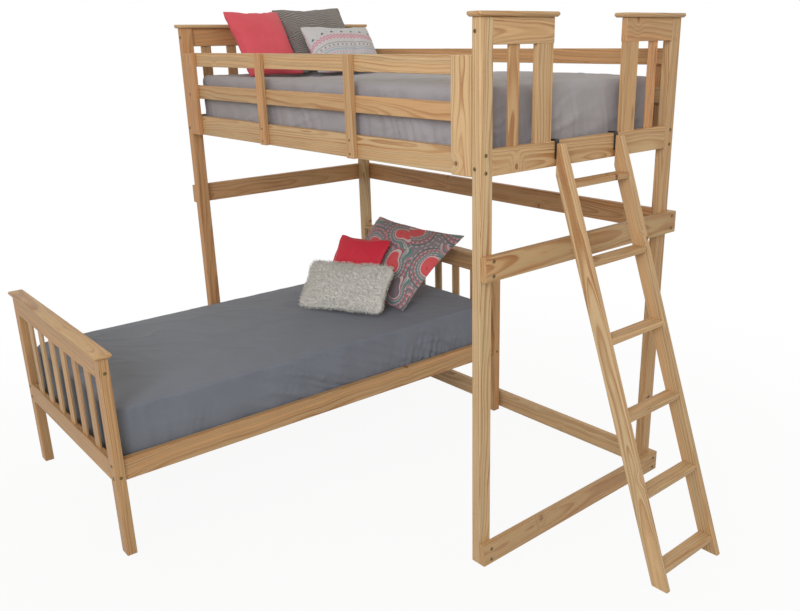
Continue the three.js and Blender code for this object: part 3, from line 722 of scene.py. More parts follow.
def mattress(name, body, place, node, sheet, seed, crown, tilt, edge, calm, drag, dents):
    """A rounded slab on a fine grid, whose sheet is moved out and in along its folds. The sheet
    lies calm toward one end, and may be dragged askew at its middle."""
    low, high = held(node, place)
    centre = (low + high) / 2
    half_x, half_y = (high - low)[:2] / 2
    tall = THICK
    shape = bmesh.new()
    counts = [int(round(side / MESH_STEP)) for side in (2 * half_x, 2 * half_y, tall)]
    found = {}

    def quad(flip, *cells):
        """One face of the slab's grid."""
        for cell in cells:
            if cell not in found:
                i, j, k = (step / count for step, count in zip(cell, counts))
                found[cell] = shape.verts.new((half_x * (2 * i - 1), half_y * (2 * j - 1), tall * k))
        loop = [found[cell] for cell in cells]
        shape.faces.new(loop[::-1] if flip else loop)

    for k in (0, counts[2]):
        for i in range(counts[0]):
            for j in range(counts[1]):
                quad(not k, (i, j, k), (i + 1, j, k), (i + 1, j + 1, k), (i, j + 1, k))
    for k in range(counts[2]):
        for i in range(counts[0]):
            for j in (0, counts[1]):
                quad(j, (i, j, k), (i + 1, j, k), (i + 1, j, k + 1), (i, j, k + 1))
        for j in range(counts[1]):
            for i in (0, counts[0]):
                quad(i, (i, j, k), (i, j, k + 1), (i, j + 1, k + 1), (i, j + 1, k))
    for vert in shape.verts:
        x, y, z = vert.co
        on_side = abs(abs(x) - half_x) < 0.01 or abs(abs(y) - half_y) < 0.01
        cx, cy = (max(CORNER - half, min(half - CORNER, c)) for c, half in ((x, half_x), (y, half_y)))
        u, v = (x - cx) / CORNER, (y - cy) / CORNER
        x = cx + CORNER * u * math.sqrt(1 - v * v / 2)
        y = cy + CORNER * v * math.sqrt(1 - u * u / 2)
        if u and v:
            out = Vector((x - cx, y - cy, 0))
            depth = CORNER - out.length
            out.normalize()
        elif half_x - abs(x) < half_y - abs(y):
            out, depth = Vector((math.copysign(1, x), 0, 0)), half_x - abs(x)
        else:
            out, depth = Vector((0, math.copysign(1, y), 0)), half_y - abs(y)
        upper = z > tall / 2
        near = min(tall - z, z)
        angle = None
        if on_side and near < edge:
            angle = math.pi / 4 * (1 + near / edge)
        elif not on_side and depth < edge:
            angle = math.pi / 4 * (1 - depth / edge)
        spot = Vector((x, y, z))
        upright = Vector((0, 0, 1 if upper else -1))
        normal = out.copy() if on_side else upright
        if angle is not None:
            inward = edge * (1 - math.sin(angle)) - (0 if on_side else depth)
            drop = edge * (1 - math.cos(angle))
            spot = Vector((x, y, 0)) - out * inward
            spot.z = tall - drop if upper else drop
            normal = out * math.sin(angle) + upright * math.cos(angle)
        if spot.z > tall / 2:
            a, b = spot.x / half_x, spot.y / half_y
            spot.z += (crown + tilt * a) * max(0, 1 - abs(a) ** 2.6) * max(0, 1 - abs(b) ** 2.6)
        x, y, z = spot
        side_share = math.sin(angle) ** 2 if angle is not None else float(on_side)
        # Down the sides: gathers at the corners, long soft pulls, and pleats where it is slack
        to_corner = math.hypot(half_x - abs(x), half_y - abs(y))
        along = x * abs(out.y) + y * abs(out.x) + 40 * math.atan2(out.y, out.x)
        side = swell(along * 0.03, z * 0.004, seed) * math.exp(-to_corner / GATHER_REACH) * GATHER
        side += swell(along * 0.010, z * 0.003, seed + 9) * PULL
        slack = max(0, swell(along * 0.003, seed + 4, 0) + 0.35) * 1.7
        slack *= 1 - 0.9 * math.exp(-((x - calm * half_x) / CALM_REACH) ** 2)
        low_down = min(1, (tall - z) / tall * 1.6)
        pleat = swell(along * 0.05 + z * 0.012, z * 0.006, seed + 5) * PLEAT * slack * low_down
        askew = math.exp(-((x - DRAG_AT) / DRAG_REACH) ** 2) * drag
        dragged = swell(along * 0.015 - z * 0.034, z * 0.004, seed + 8) * DRAGGED_PLEAT
        pleat += (dragged - pleat) * askew
        slant = abs(swell(along * 0.007 - z * 0.018, z * 0.01, seed + 6))
        pleat += SLANTED_PLEAT * max(0, 1 - slant * 10) * slack * (0.3 + 0.7 * low_down)
        waist = WAIST * (1 - math.exp(-max(0, tall * 0.45 - vert.co.z) / 60)) * side_share
        # On top: easy waves, a few creases and fine ripples, calmer toward the edge
        top = swell(x * 0.0035, y * 0.0045, seed + 3) * WAVE
        crease = abs(swell(x * 0.007 + y * 0.004, y * 0.005, seed + 7))
        top += CREASE * max(0, 1 - crease * 8) + swell(x * 0.02, y * 0.012, seed) * RIPPLE
        top *= 0.25 + 0.75 * min(1, depth / 140)
        spot += normal * (side_share * (side + pleat - waist - 5) + (1 - side_share) * (top - 2.5) * upper)
        # Where a pillow rests, the sheet gives way under its lower edge
        for start, end in dents if upper else ():
            share = max(0, min(1, (spot.xy - start).dot(end - start) / (end - start).length_squared))
            away = (spot.xy - start - (end - start) * share).length
            spot.z -= DENT * math.exp(-(away / DENT_REACH) ** 2)
        vert.co = spot
    mesh = bpy.data.meshes.new(name)
    shape.to_mesh(mesh)
    shape.free()
    middle = Vector((*centre[:2], low[2])) * MM
    mesh.transform(place @ Matrix.Translation(middle) @ Matrix.Scale(MM, 4))
    mesh.shade_smooth()
    mesh.materials.append(sheet)
    piece = shown(name, mesh)
    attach(piece, body)
    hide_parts(node)


def feet(place, bed, *nodes):
    """The lower edges of pillows, as lines on their mattress, from its middle."""
    low, high = held(bed, place)
    middle = (low + high) / 2
    inverse = place.inverted()
    lines = []
    for node in nodes:
        points = (inverse @ v.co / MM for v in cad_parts[node].data.vertices)
        lowest = sorted(sorted(points, key=lambda p: p.z)[:12], key=lambda p: p.y)
        lines.append([Vector((p.x - middle[0], p.y - middle[1])) for p in (lowest[0], lowest[-1])])
    return lines


# The two sheets are one grey percale. The loft's colours are lightened as painted light, and the lower
# bed's are darkened and cooled as painted shade beneath the loft.
mattress("loft_mattress_sheeted", "loft", loft, "loft_mattress",
         percale("grey percale lightened as painted light", "#a39fa2", "#999598"), 2.0, 2, 40, 27, -1, 0,
         feet(loft, "loft_mattress", "pillow_coral", "pillow_grey", "pillow_print"))
mattress("lower_mattress_sheeted", "lower_bed", lower, "lower_mattress",
         percale("grey percale darkened as painted shade", "#7a808c", "#717782"), 31.0, 12, 0, 17, 1, 0.9,
         feet(lower, "lower_mattress", "pillow_paisley", "pillow_red", "pillow_fur"))


# Throw pillows. Knife-edged covers of two panels sewn together, stuffed with fibre fill, so
# that the middle crowns, the sides draw in and the corners stay thin. They lean on each other.

PILLOW_STEP = 11
CROWN_POWER = 2.4
PINCH_POWER = 0.62
START_SHARE = 0.55
SIM_FRAMES = 20
MOST_MOVE = 24
CORNER_FOLD, FOLD_REACH = 7, 105
COVER_SLACK, COVER_CREASE = 3.4, 4.5
SEAM_WAVES = (3.5, 4.5)
PILE_ROOM = 6
waiting = []


def fullness(u, v):
    """How thick a pillow is at a place across it, as a share."""
    return (max(0, 1 - abs(u) ** CROWN_POWER) * max(0, 1 - abs(v) ** CROWN_POWER)) ** PINCH_POWER


def cut_pillow(name, body, place, node, turn, lean, tip, draw_in, slump=0, ear=(0, 0)):
    """The sewn cover, only part filled, where its CAD pillow is. It is puffed with the others.
    A slumped one leans to its right, with its upper right corner drawn out."""
    turn, lean, tip = (math.radians(angle) for angle in (turn, lean, tip))
    facing = Vector((math.cos(turn), math.sin(turn), 0))
    right = Vector((-facing.y, facing.x, 0))
    up = Vector((0, 0, math.sin(lean))) - facing * math.cos(lean)
    stand = place @ Matrix((right, up, right.cross(up))).transposed().to_4x4()
    stand = stand @ Matrix.Rotation(tip, 4, "Z")
    low, high = held(node, stand)
    stand = stand @ Matrix.Translation(Vector((low + high) / 2 * MM))
    wide, tall, thick = high - low
    wide, tall = wide - slump - ear[0], tall - ear[1]
    counts = [2 * int(round(side / PILLOW_STEP / 2)) for side in (wide, tall)]
    shape = bmesh.new()
    cloth = shape.verts.layers.float_vector.new("cloth")
    cell = shape.verts.layers.float_vector.new("cell")
    found = {}

    def point(i, j, side):
        edge = i in (0, counts[0]) or j in (0, counts[1])
        key = (i, j, 0 if edge else side)
        if key not in found:
            u, v = 2 * i / counts[0] - 1, 2 * j / counts[1] - 1
            x = wide / 2 * u * (1 - draw_in * (1 - v * v))
            y = tall / 2 * v * (1 - draw_in * (1 - u * u))
            z = side * thick / 2 * fullness(u, v) * START_SHARE
            found[key] = shape.verts.new((x, y, 0 if edge else z))
            found[key][cloth] = (wide / 2 * u * MM, tall / 2 * v * MM, 0 if edge else side)
            found[key][cell] = (i, j, 0)
        return found[key]

    for side in (1, -1):
        for i in range(counts[0]):
            for j in range(counts[1]):
                loop = [point(a, b, side) for a, b in ((i, j), (i + 1, j), (i + 1, j + 1), (i, j + 1))]
                shape.faces.new(loop if side > 0 else loop[::-1])
    mesh = bpy.data.meshes.new(name)
    shape.to_mesh(mesh)
    shape.free()
    mesh.transform(stand @ Matrix.Scale(MM, 4))
    piece = shown(name, mesh)
    waiting.append((piece, body, node, stand, (wide, tall, thick), draw_in, counts, slump, ear))
    return piece


coral = cut_pillow("pillow_coral_cover", "loft", loft, "pillow_coral", 0, 55, 0.6, 0.055)
grey = cut_pillow("pillow_grey_cover", "loft", loft, "pillow_grey", 0, 56, 2, 0.055)
printed = cut_pillow("pillow_print_cover", "loft", loft, "pillow_print", 0, 57, 0, 0.04)
paisley = cut_pillow("pillow_paisley_cover", "lower_bed", lower, "pillow_paisley", 24, 44, -8.6, 0.055,
                     slump=80, ear=(36, 8))
red = cut_pillow("pillow_red_cover", "lower_bed", lower, "pillow_red", 20, 48, -0.3, 0.055)
fur = cut_pillow("pillow_fur_backing", "lower_bed", lower, "pillow_fur", 22, 49.5, 2.6, 0.04)

for piece, *_ in waiting:
    cover = piece.modifiers.new("cover", "CLOTH")
    for key, value in {"quality": 7, "mass": 0.2, "tension_stiffness": 18, "compression_stiffness": 18,
                       "shear_stiffness": 8, "bending_stiffness": 0.15, "use_pressure": True,
                       "uniform_pressure_force": 4.5}.items():
        setattr(cover.settings, key, value)
    cover.settings.effector_weights.gravity = 0
    cover.collision_settings.use_collision = False
for number in range(1, SIM_FRAMES + 1):
    bpy.context.scene.frame_set(number)
puffed = bpy.context.evaluated_depsgraph_get()
shapes = [np.array([v.co for v in piece.evaluated_get(puffed).data.vertices]) for piece, *_ in waiting]
for (piece, *_), shape in zip(waiting, shapes):
    start = np.array([v.co for v in piece.data.vertices])
    move = shape - start
    far = np.linalg.norm(move, axis=1, keepdims=True) / (MOST_MOVE * MM)
    piece.modifiers.clear()
    piece.data.vertices.foreach_set("co", (start + move / np.maximum(1, far)).ravel())
bpy.context.scene.frame_set(1)


# Each puffed cover is set back to its sewn size and eased where it would press its neighbour.
# Folds run in from the corners, where the cover has more cloth than filling.
for order, (piece, body, node, stand, size, draw_in, counts, slump, ear) in enumerate(waiting):
    wide, tall, thick = size
    inverse = stand.inverted()
    local = np.array([inverse @ v.co for v in piece.data.vertices]) / MM
    low, high = local.min(0), local.max(0)
    local = (local - (low + high) / 2) / (high - low) * np.array(size) * (1, 1, 0.98)
    if node == "pillow_fur":
        wide, tall, thick = wide - 2 * PILE_ROOM, tall - 2 * PILE_ROOM, thick - 1.6 * PILE_ROOM
        local *= 1 - 2 * PILE_ROOM / (wide + 2 * PILE_ROOM)
    cells = np.array([v.vector[:2] for v in piece.data.attributes["cell"].data]).round().astype(int)
    for axis, side in ((0, wide), (1, tall)):
        for line in range(counts[1 - axis] + 1):
            row_of = np.flatnonzero(cells[:, 1 - axis] == line)
            ends = [row_of[cells[row_of, axis] == end][0] for end in (0, counts[axis])]
            first, last = local[ends[0], axis], local[ends[1], axis]
            reach = side / 2 * (1 - draw_in * (1 - (2 * line / counts[1 - axis] - 1) ** 2))
            local[row_of, axis] = (local[row_of, axis] - (first + last) / 2) / (last - first) * 2 * reach
    for index, (x, y, z) in enumerate(local):
        u, v = 2 * x / wide, 2 * y / tall
        across, along = abs(x) - wide / 2, abs(y) - tall / 2
        angle = math.atan2(along, across)
        fold = CORNER_FOLD * math.exp(-math.hypot(across, along) / FOLD_REACH)
        fold *= swell(angle * 5, order * 7 + (x > 0), (y > 0) * 3)
        slack = COVER_SLACK * swell(x * 0.014 + y * 0.006, y * 0.011, order * 5 + (z > 0) * 2)
        ripple = abs(swell(x * 0.021 - y * 0.004, y * 0.006, order * 3 + (z > 0)))
        slack -= COVER_CREASE * max(0, 1 - ripple * 9) * (1 - u * u)
        room = thick / 2 * fullness(u, v)
        z += math.copysign(min(1, room / 14), z) * (fold + slack - 2.0)
        z = math.copysign(min(abs(z), room + 1.0), z) if abs(z) > 0.01 else z
        # The seams wave a little, and a slumped cover's corner is drawn out
        x += SEAM_WAVES[0] * abs(u) ** 3 * swell(y * 0.02, order, x > 0)
        y += SEAM_WAVES[1] * abs(v) ** 3 * swell(x * 0.017, order + 0.5, y > 0)
        if node == "pillow_fur" and (x or y):
            most = max(abs(u), abs(v))
            blunt = 1 + ((abs(u) ** 10 + abs(v) ** 10) ** 0.1 / most - 1) * most ** 4
            x, y = x / blunt, y / blunt
        drawn = max(0, (1 + u) * (1 + v) / 4) ** 3
        local[index] = (x + slump * v / 2 + ear[0] * (drawn - 0.5), y + ear[1] * (drawn - 0.5), z)
    piece.data.vertices.foreach_set("co", np.array([stand @ (Vector(p) * MM) for p in local]).ravel())
    piece.data.shade_smooth()
    finer = piece.modifiers.new("finer", "SUBSURF")
    finer.levels = finer.render_levels = 1
    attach(piece, body)
    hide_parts(node)


# The two plain covers, coral and red. Piece-dyed cotton sateen, sewn from two panels with a
# knife edge: smooth, with a soft sheen along its folds.

def sateen(name, light, dark):
    """Cotton sateen in one dye, a little lighter where it has rubbed."""
    material, tree, shader = surface(name, 0.6, Sheen_Weight=0.12, Sheen_Roughness=0.35)
    where = add(tree, "Attribute", attribute_name="cloth").outputs["Vector"]
    cloudy = add(tree, "TexNoise", {"Vector": where, "Scale": 9.0, "Detail": 3.0})
    dye = add(tree, "Mix RGBA", {0: cloudy, 6: dark, 7: light})
    # Yarns of 0.25 mm, drawn 1.6 mm apart to show
    yarn = add(tree, "TexWave", {"Vector": where, "Scale": 100.0, "Distortion": 1.0},
               bands_direction="Y").outputs[1]
    soft = add(tree, "MapRange", {0: yarn, 3: 0.95, 4: 1.03})
    dye = add(tree, "VectorMath SCALE", {0: dye, 3: soft})
    crush = add(tree, "TexNoise", {"Vector": where, "Scale": 24.0, "Detail": 2.0, "Distortion": 1.2})
    folds = add(tree, "Bump", {"Strength": 0.35, "Distance": 0.004, "Height": crush})
    bump = add(tree, "Bump", {"Strength": 0.3, "Distance": 0.0003, "Height": yarn, "Normal": folds})
    plug(shader, {"Base Color": dye, "Normal": bump})
    return material


coral.data.materials.append(sateen("coral cotton sateen", "#dc5460", "#cc4753"))
red.data.materials.append(sateen("red cotton sateen", "#e02e45", "#d1263c"))


# The grey cover. Fine rib-knit jersey over the same filling: its ribs are some 10 mm apart
# and pulled into waves, with the loops of the yarn as specks between them. Its colour is
# darkened in the grooves between the ribs as painted shade, and along the waves as painted
# light and shade.

RIB = 10 * MM

knit, tree, shader = surface("grey rib-knit jersey", 0.9, Sheen_Weight=0.2, Sheen_Roughness=0.6)
where = add(tree, "Attribute", attribute_name="cloth").outputs["Vector"]
drift = add(tree, "TexNoise", {"Vector": where, "Scale": 7.0, "Detail": 1.5})
axes = add(tree, "SeparateXYZ", [where]).outputs
height = add(tree, "Math MULTIPLY_ADD", [drift, 0.08, axes["Y"]])
phase = add(tree, "Math MULTIPLY", [height, 2 * math.pi / RIB])
rib = add(tree, "Math SINE", [phase])
rib = add(tree, "MapRange", [rib, -1.0])
loops = add(tree, "TexNoise", {"Vector": where, "Scale": 520.0, "Detail": 2.0})
pulled = add(tree, "TexNoise", {"Vector": where, "Scale": 30.0, "Detail": 3.0, "Distortion": 2.0})
# Painted shade: the yarn is coloured dark in the grooves between the ribs, where the bump sinks, and light
# on their crests.
yarn = add(tree, "Mix RGBA", {0: rib, 6: "#5f5854", 7: "#8f8883"})
# The fine loops give real specks of tone. The pulled waves, which also drive the bump, lighten and darken
# the colour as painted light and shade.
flecks_and_painted_wave_shade = add(tree, "Math", [loops, pulled])
flecks_and_painted_wave_shade = add(tree, "MapRange", [flecks_and_painted_wave_shade, 0.6, 1.4, 0.78, 1.18])
yarn = add(tree, "VectorMath SCALE", {0: yarn, 3: flecks_and_painted_wave_shade})
waves = add(tree, "Bump", {"Strength": 0.7, "Distance": 0.008, "Height": pulled})
bump = add(tree, "Bump", {"Strength": 0.8, "Distance": 0.0025, "Height": rib, "Normal": waves})
plug(shader, {"Base Color": yarn, "Normal": bump})
grey.data.materials.append(knit)


# The printed cover: off-white cotton with bands of small geometric figures, as block prints
# have them: triangles, zigzags, dots and lines, repeated the same above and below.

PRINT_MIDDLE = 31 * MM

figures, tree, shader = surface("block-printed cotton", 0.85, Sheen_Weight=0.1)
where = add(tree, "Attribute", attribute_name="cloth").outputs["Vector"]
axes = add(tree, "SeparateXYZ", [where]).outputs
# The cloth is sewn askew at one side, so its rows bend down there
askew = add(tree, "Math MULTIPLY_ADD", [axes["X"], -1.0, -0.04])
askew = add(tree, "Math MAXIMUM", [askew, 0.0])
askew = add(tree, "Math POWER", [askew, 2.0])
rise = add(tree, "Math MULTIPLY_ADD", [askew, 2.0, axes["Y"]])
rise = add(tree, "Math", [rise, PRINT_MIDDLE])
rise = add(tree, "Math ABSOLUTE", [rise])
wobble = add(tree, "TexNoise", {"Vector": where, "Scale": 60.0})
rise = add(tree, "Math MULTIPLY_ADD", [wobble, 0.002, rise])
faded = add(tree, "TexNoise", {"Vector": where, "Scale": 300.0, "Detail": 2.0})
print_colour = add(tree, "Mix RGBA", {0: faded, 6: "#bcbabc", 7: "#cdcacb"})
# Kind of figure, its band's height over the middle, repeat, size and colour, in mm
for kind, band, repeat, size, ink in (
        ("triangle", 98, 54, 12, "#17424f"), ("dot", 99, 27, 2.6, "#6fb0b8"),
        ("line", 111, 10, 1.0, "#b3c9cc"), ("zigzag", 73, 19, 3.0, "#c97c92"),
        ("zigzag", 62, 19, 3.0, "#cf7f97"), ("line", 44, 10, 1.4, "#85878d"),
        ("dot", 34, 24, 4.0, "#77767d"), ("line", 24, 10, 1.2, "#95959b"),
        ("line", 15, 10, 2.0, "#9aa9bb"), ("line", 10, 10, 1.2, "#9aa9bb"),
        ("dot", 0, 17, 4.0, "#c98a99")):
    beside = add(tree, "Math PINGPONG", [axes["X"], repeat / 2 * MM])
    above = add(tree, "Math", [rise, -band * MM])
    if kind == "line":
        far = add(tree, "Math ABSOLUTE", [above])
    elif kind == "dot":
        flat = add(tree, "CombineXYZ", [beside, above])
        far = add(tree, "VectorMath LENGTH", [flat])
    elif kind == "zigzag":
        far = add(tree, "Math SUBTRACT", [above, beside])
        far = add(tree, "Math ABSOLUTE", [far])
    else:
        down = add(tree, "Math ABSOLUTE", [above])
        lean_to = add(tree, "Math MULTIPLY_ADD", [beside, 1.3, above])
        far = add(tree, "Math MAXIMUM", [down, lean_to])
        size = size / 2
    inked = add(tree, "MapRange", [far, size * MM * 0.85, size * MM * 1.15, 1.0, 0.0])
    worn = add(tree, "MapRange", [faded, 0.2, 0.5, 0.6, 1.0])
    inked = add(tree, "Math MULTIPLY", [inked, worn])
    print_colour = add(tree, "Mix RGBA", {0: inked, 6: print_colour, 7: ink})
crush = add(tree, "TexNoise", {"Vector": where, "Scale": 20.0, "Detail": 2.0, "Distortion": 1.0})
folds = add(tree, "Bump", {"Strength": 0.3, "Distance": 0.004, "Height": crush})
bump = add(tree, "Bump", {"Strength": 0.3, "Distance": 0.0004, "Height": faded, "Normal": folds})
plug(shader, {"Base Color": print_colour, "Normal": bump})
printed.data.materials.append(figures)


# The paisley cover: printed cotton with bent drops in rings of coral, pink, teal and grey.
# Each drop grows from its own middle, so rings of neighbours meet halfway.

DROP = 185 * MM
HEART = 0.215

drops, tree, shader = surface("paisley-printed cotton", 0.82, Sheen_Weight=0.1)
where = add(tree, "Attribute", attribute_name="cloth").outputs["Vector"]
slant = add(tree, "VectorRotate", {"Vector": where, "Angle": -0.6}, rotation_type="Z_AXIS")
plane = add(tree, "VectorMath MULTIPLY_ADD", [slant, (1.25 / DROP, 0.85 / DROP, 0), (3.3, 1.7, 0)])
cells = add(tree, "TexVoronoi", {"Vector": plane, "Scale": 1.0, "Randomness": 0.75},
            voronoi_dimensions="2D")
away = add(tree, "VectorMath SUBTRACT", [plane, cells.outputs["Position"]])
far = add(tree, "VectorMath LENGTH", [away])
axes = add(tree, "SeparateXYZ", [away]).outputs
angle = add(tree, "Math ARCTAN2", [axes["Y"], axes["X"]])
chance = add(tree, "SeparateColor", [cells.outputs["Color"]]).outputs
angle = add(tree, "Math MULTIPLY_ADD", [chance[0], 6.28, angle])
curl = add(tree, "Math MULTIPLY_ADD", [far, 2.6, angle])
tip = add(tree, "Math COSINE", [curl])
tip = add(tree, "Math MAXIMUM", [tip, 0.0])
tip = add(tree, "Math POWER", [tip, 3.0])
reach = add(tree, "Math MULTIPLY_ADD", [tip, 0.42, 0.34])
level = add(tree, "Math DIVIDE", [far, reach])
level = add(tree, "Math MULTIPLY", [level, 0.42])
inks = add(tree, "ValToRGB", [level], stops=[
    (0.0, "#cf4a50"), (0.03, "#dc5a5e"), (HEART, "#cfc5c0"), (0.255, "#b5566a"), (0.275, "#7c8183"),
    (0.32, "#c9c1bd"), (0.335, "#5f8a87"), (0.37, "#85898b"), (0.42, "#a9a5a4"), (0.44, "#c05668"),
    (0.475, "#777b7e"), (0.52, "#8f9193"), (0.55, "#c9525c"), (0.6, "#a39e9e"), (0.62, "#6d7275"),
    (0.68, "#8a8286")])
inks.color_ramp.interpolation = "CONSTANT"
# Every other drop has a grey heart with a plum lattice in place of the coral one
lattice = add(tree, "TexWave",
              {"Vector": slant, "Scale": 12.0, "Distortion": 3.0, "Detail": 1.0}).outputs[1]
lattice = add(tree, "Math GREATER_THAN", [lattice, 0.55])
dashes = add(tree, "TexWave", {"Vector": slant, "Scale": 22.0, "Distortion": 1.0},
             bands_direction="Y").outputs[1]
dashes = add(tree, "Math GREATER_THAN", [dashes, 0.4])
lattice = add(tree, "Math MULTIPLY", [lattice, dashes])
heart = add(tree, "Mix RGBA", {0: lattice, 6: "#75767a", 7: "#a0707f"})
plain = add(tree, "Math GREATER_THAN", [chance[1], 0.6])
within = add(tree, "Math LESS_THAN", [level, HEART])
plain = add(tree, "Math MULTIPLY", [plain, within])
inks = add(tree, "Mix RGBA", {0: plain, 6: inks, 7: heart})
beads = add(tree, "Math MULTIPLY", [angle, 22.0])
beads = add(tree, "Math SINE", [beads])
beads = add(tree, "Math GREATER_THAN", [beads, 0.15])
rings = add(tree, "Math MULTIPLY", [level, 46.0])
rings = add(tree, "Math SINE", [rings])
rings = add(tree, "Math GREATER_THAN", [rings, 0.35])
beads = add(tree, "Math MULTIPLY", [beads, rings])
inner = add(tree, "Math GREATER_THAN", [level, 0.2])
beads = add(tree, "Math MULTIPLY", [beads, inner])
beads = add(tree, "Math MULTIPLY", [beads, 0.6])
inks = add(tree, "Mix RGBA", {0: beads, 6: inks, 7: "#c9c3c0"})
thread = add(tree, "TexNoise", {"Vector": where, "Scale": 400.0, "Detail": 2.0})
crush = add(tree, "TexNoise", {"Vector": where, "Scale": 16.0, "Detail": 2.0, "Distortion": 1.0})
folds = add(tree, "Bump", {"Strength": 0.35, "Distance": 0.005, "Height": crush})
bump = add(tree, "Bump", {"Strength": 0.3, "Distance": 0.0004, "Height": thread, "Normal": folds})
plug(shader, {"Base Color": inks, "Normal": bump})
paisley.data.materials.append(drops)


# The fur cover: a long-pile faux fur of off-white acrylic. Its tufts stand every few
# millimetres on a knitted backing, curled and leaning all ways.

TUFT_LONG = 10
TUFT_THICK = 2.0
TUFTS_PER_M2 = 32000.0

pile, tree, shader = surface("off-white faux fur", 0.9, Sheen_Weight=0.35, Sheen_Roughness=0.5)
where = add(tree, "TexCoord").outputs["Object"]
mottle = add(tree, "TexNoise", {"Vector": where, "Scale": 70.0, "Detail": 3.0})
tone = add(tree, "MapRange", [mottle, 0.3, 0.7])
hair = add(tree, "Mix RGBA", {0: tone, 6: "#cdcbc4", 7: "#e6e4dd"})
plug(shader, {"Base Color": hair})
fur.data.materials.append(pile)

tufts, tuft_inputs, given = node_group("tufts on a backing", Density="Float", Length="Float",
                                       Thickness="Float", Seed="Int", Finish="Material")
roots = add(tufts, "GeometryNodeDistributePointsOnFaces", {
    "Mesh": given["Geometry"], "Density": given["Density"], "Seed": given["Seed"]}).outputs
sway = add(tufts, "Math MULTIPLY", [given["Length"], 0.45])
bow = add(tufts, "CombineXYZ", {0: sway, 2: sway})
end = add(tufts, "CombineXYZ", {1: sway, 2: given["Length"]})
hairline = add(tufts, "GeometryNodeCurveQuadraticBezier", {
    "Resolution": 3, "Middle": bow, "End": end, "Start": (0, 0, 0)})
along = add(tufts, "GeometryNodeSplineParameter").outputs["Factor"]
taper = add(tufts, "MapRange", {0: along, 3: 1.0, 4: 0.2})
tapered = add(tufts, "GeometryNodeSetCurveRadius", {"Curve": hairline, "Radius": taper})
half = add(tufts, "Math MULTIPLY", [given["Thickness"], 0.5])
ring = add(tufts, "GeometryNodeCurvePrimitiveCircle", {"Resolution": 3, "Radius": half})
tuft = add(tufts, "GeometryNodeCurveToMesh", {"Curve": tapered, "Profile Curve": ring, "Fill Caps": True})
lean_by = add(tufts, "FunctionNodeRandomValue", {0: (-0.75, -0.75, -3.1), 1: (0.75, 0.75, 3.1),
    "Seed": given["Seed"]}, data_type="FLOAT_VECTOR")
stood = add(tufts, "FunctionNodeRotateRotation", [roots["Rotation"], lean_by], rotation_space="LOCAL")
sized = add(tufts, "FunctionNodeRandomValue", {2: 0.65, 3: 1.15, "Seed": given["Seed"]})
placed = add(tufts, "GeometryNodeInstanceOnPoints", {"Points": roots["Points"], "Instance": tuft,
    "Rotation": stood, "Scale": sized})
real = add(tufts, "GeometryNodeRealizeInstances", {"Geometry": placed})
smooth = add(tufts, "GeometryNodeSetShadeSmooth", {"Geometry": real})
done = add(tufts, "GeometryNodeSetMaterial", {"Geometry": smooth, "Material": given["Finish"]})
add(tufts, "NodeGroupOutput", [done])
made = grown(fur.data.copy(), tufts, tuft_inputs, Density=TUFTS_PER_M2, Length=TUFT_LONG * MM,
             Thickness=TUFT_THICK * MM, Seed=4, Finish=pile)
made.name = "pillow_fur_pile"
tuft_piece = shown("pillow_fur_pile", made)
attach(tuft_piece, "lower_bed")


# Studio. A white floor and backdrop, one soft box near the camera's azimuth with the room's
# soft warm light all round, and the camera at the photograph's place.

def show(tree, camera_side, other_side):
    """Mixes what the camera, gloss and glass see with what lights the object."""
    path = add(tree, "LightPath").outputs
    seen = add(tree, "Math MAXIMUM", [path["Is Camera Ray"], path["Is Glossy Ray"]])
    seen = add(tree, "Math MAXIMUM", [seen, path["Is Transmission Ray"]])
    return add(tree, "MixShader", [seen, other_side, camera_side])


def emptied(owner):
    """The tree of a world or material, without its first nodes."""
    owner.use_nodes = True
    owner.node_tree.nodes.clear()
    return owner.node_tree


world = bpy.data.worlds.new("studio")
bpy.context.scene.world = world
tree = emptied(world)
white = add(tree, "Background", [(1, 1, 1, 1), 1.0])
soft = add(tree, "Background", [(1, 0.94, 0.81, 1), 0.68])
add(tree, "OutputWorld", [show(tree, white, soft)])

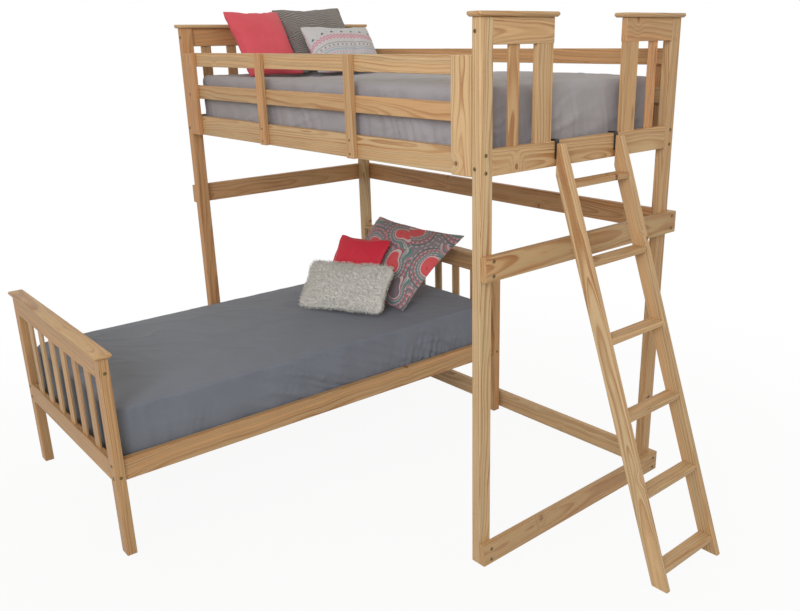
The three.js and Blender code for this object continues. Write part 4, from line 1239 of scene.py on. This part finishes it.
studio_floor = bpy.data.materials.new("white studio floor")
tree = emptied(studio_floor)
paint = add(tree, "BsdfDiffuse", [(0.6, 0.6, 0.6, 1)])
glow = add(tree, "Emission", [(1, 1, 1, 1), 1.0])
where = add(tree, "TexCoord").outputs["Object"]
reach = add(tree, "VectorMath LENGTH", [where])
share = add(tree, "MapRange", [reach, 1.0, 3.2, 0.93, 1.0])
lit = add(tree, "MixShader", [share, paint, glow])
add(tree, "OutputMaterial", [show(tree, lit, paint)])
mesh = bpy.data.meshes.new("floor")
mesh.from_pydata([(-9, -9, 0), (9, -9, 0), (9, 9, 0), (-9, 9, 0)], [], [[0, 1, 2, 3]])
mesh.materials.append(studio_floor)
shown("floor", mesh)

LAMP_PLACE, LAMP_TARGET = Vector((3.0, -3.6, 3.2)), Vector((0.4, 0.2, 1.8))
soft_box = bpy.data.lights.new("key", "AREA")
soft_box.size, soft_box.energy, soft_box.spread = 2.4, 36, math.radians(90)
soft_box.color = (0.97, 1, 1.12)
aim = (LAMP_TARGET - LAMP_PLACE).to_track_quat("-Z", "Y").to_matrix().to_4x4()
shown("key", soft_box).matrix_world = Matrix.Translation(LAMP_PLACE) @ aim

PHOTO_WIDE, PHOTO_HIGH = 800, 611
FOCAL_PX, MIDDLE_PX = 831.03, (437.05, 323.9)
SENSOR = 36
AZIMUTH, ELEVATION, ROLL = math.radians(48.44), math.radians(-19.01), math.radians(-0.87)
right = Vector((math.cos(AZIMUTH), math.sin(AZIMUTH), 0))
ahead = Vector((-right.y * math.cos(ELEVATION), right.x * math.cos(ELEVATION), math.sin(ELEVATION)))
up = right.cross(ahead)
right, up = (right * math.cos(ROLL) + up * math.sin(ROLL), up * math.cos(ROLL) - right * math.sin(ROLL))
lens = bpy.data.cameras.new("camera")
lens.lens, lens.sensor_width = SENSOR * FOCAL_PX / PHOTO_WIDE, SENSOR
lens.shift_x = (PHOTO_WIDE / 2 - MIDDLE_PX[0]) / PHOTO_WIDE
lens.shift_y = (MIDDLE_PX[1] - PHOTO_HIGH / 2) / PHOTO_WIDE
camera = shown("camera", lens)
turn = Matrix((right, up, -ahead)).transposed().to_4x4()
camera.matrix_world = Matrix.Translation((2.5845, -1.9015, 1.836)) @ turn
bpy.context.scene.camera = camera
bpy.context.scene.view_settings.view_transform = "Standard"
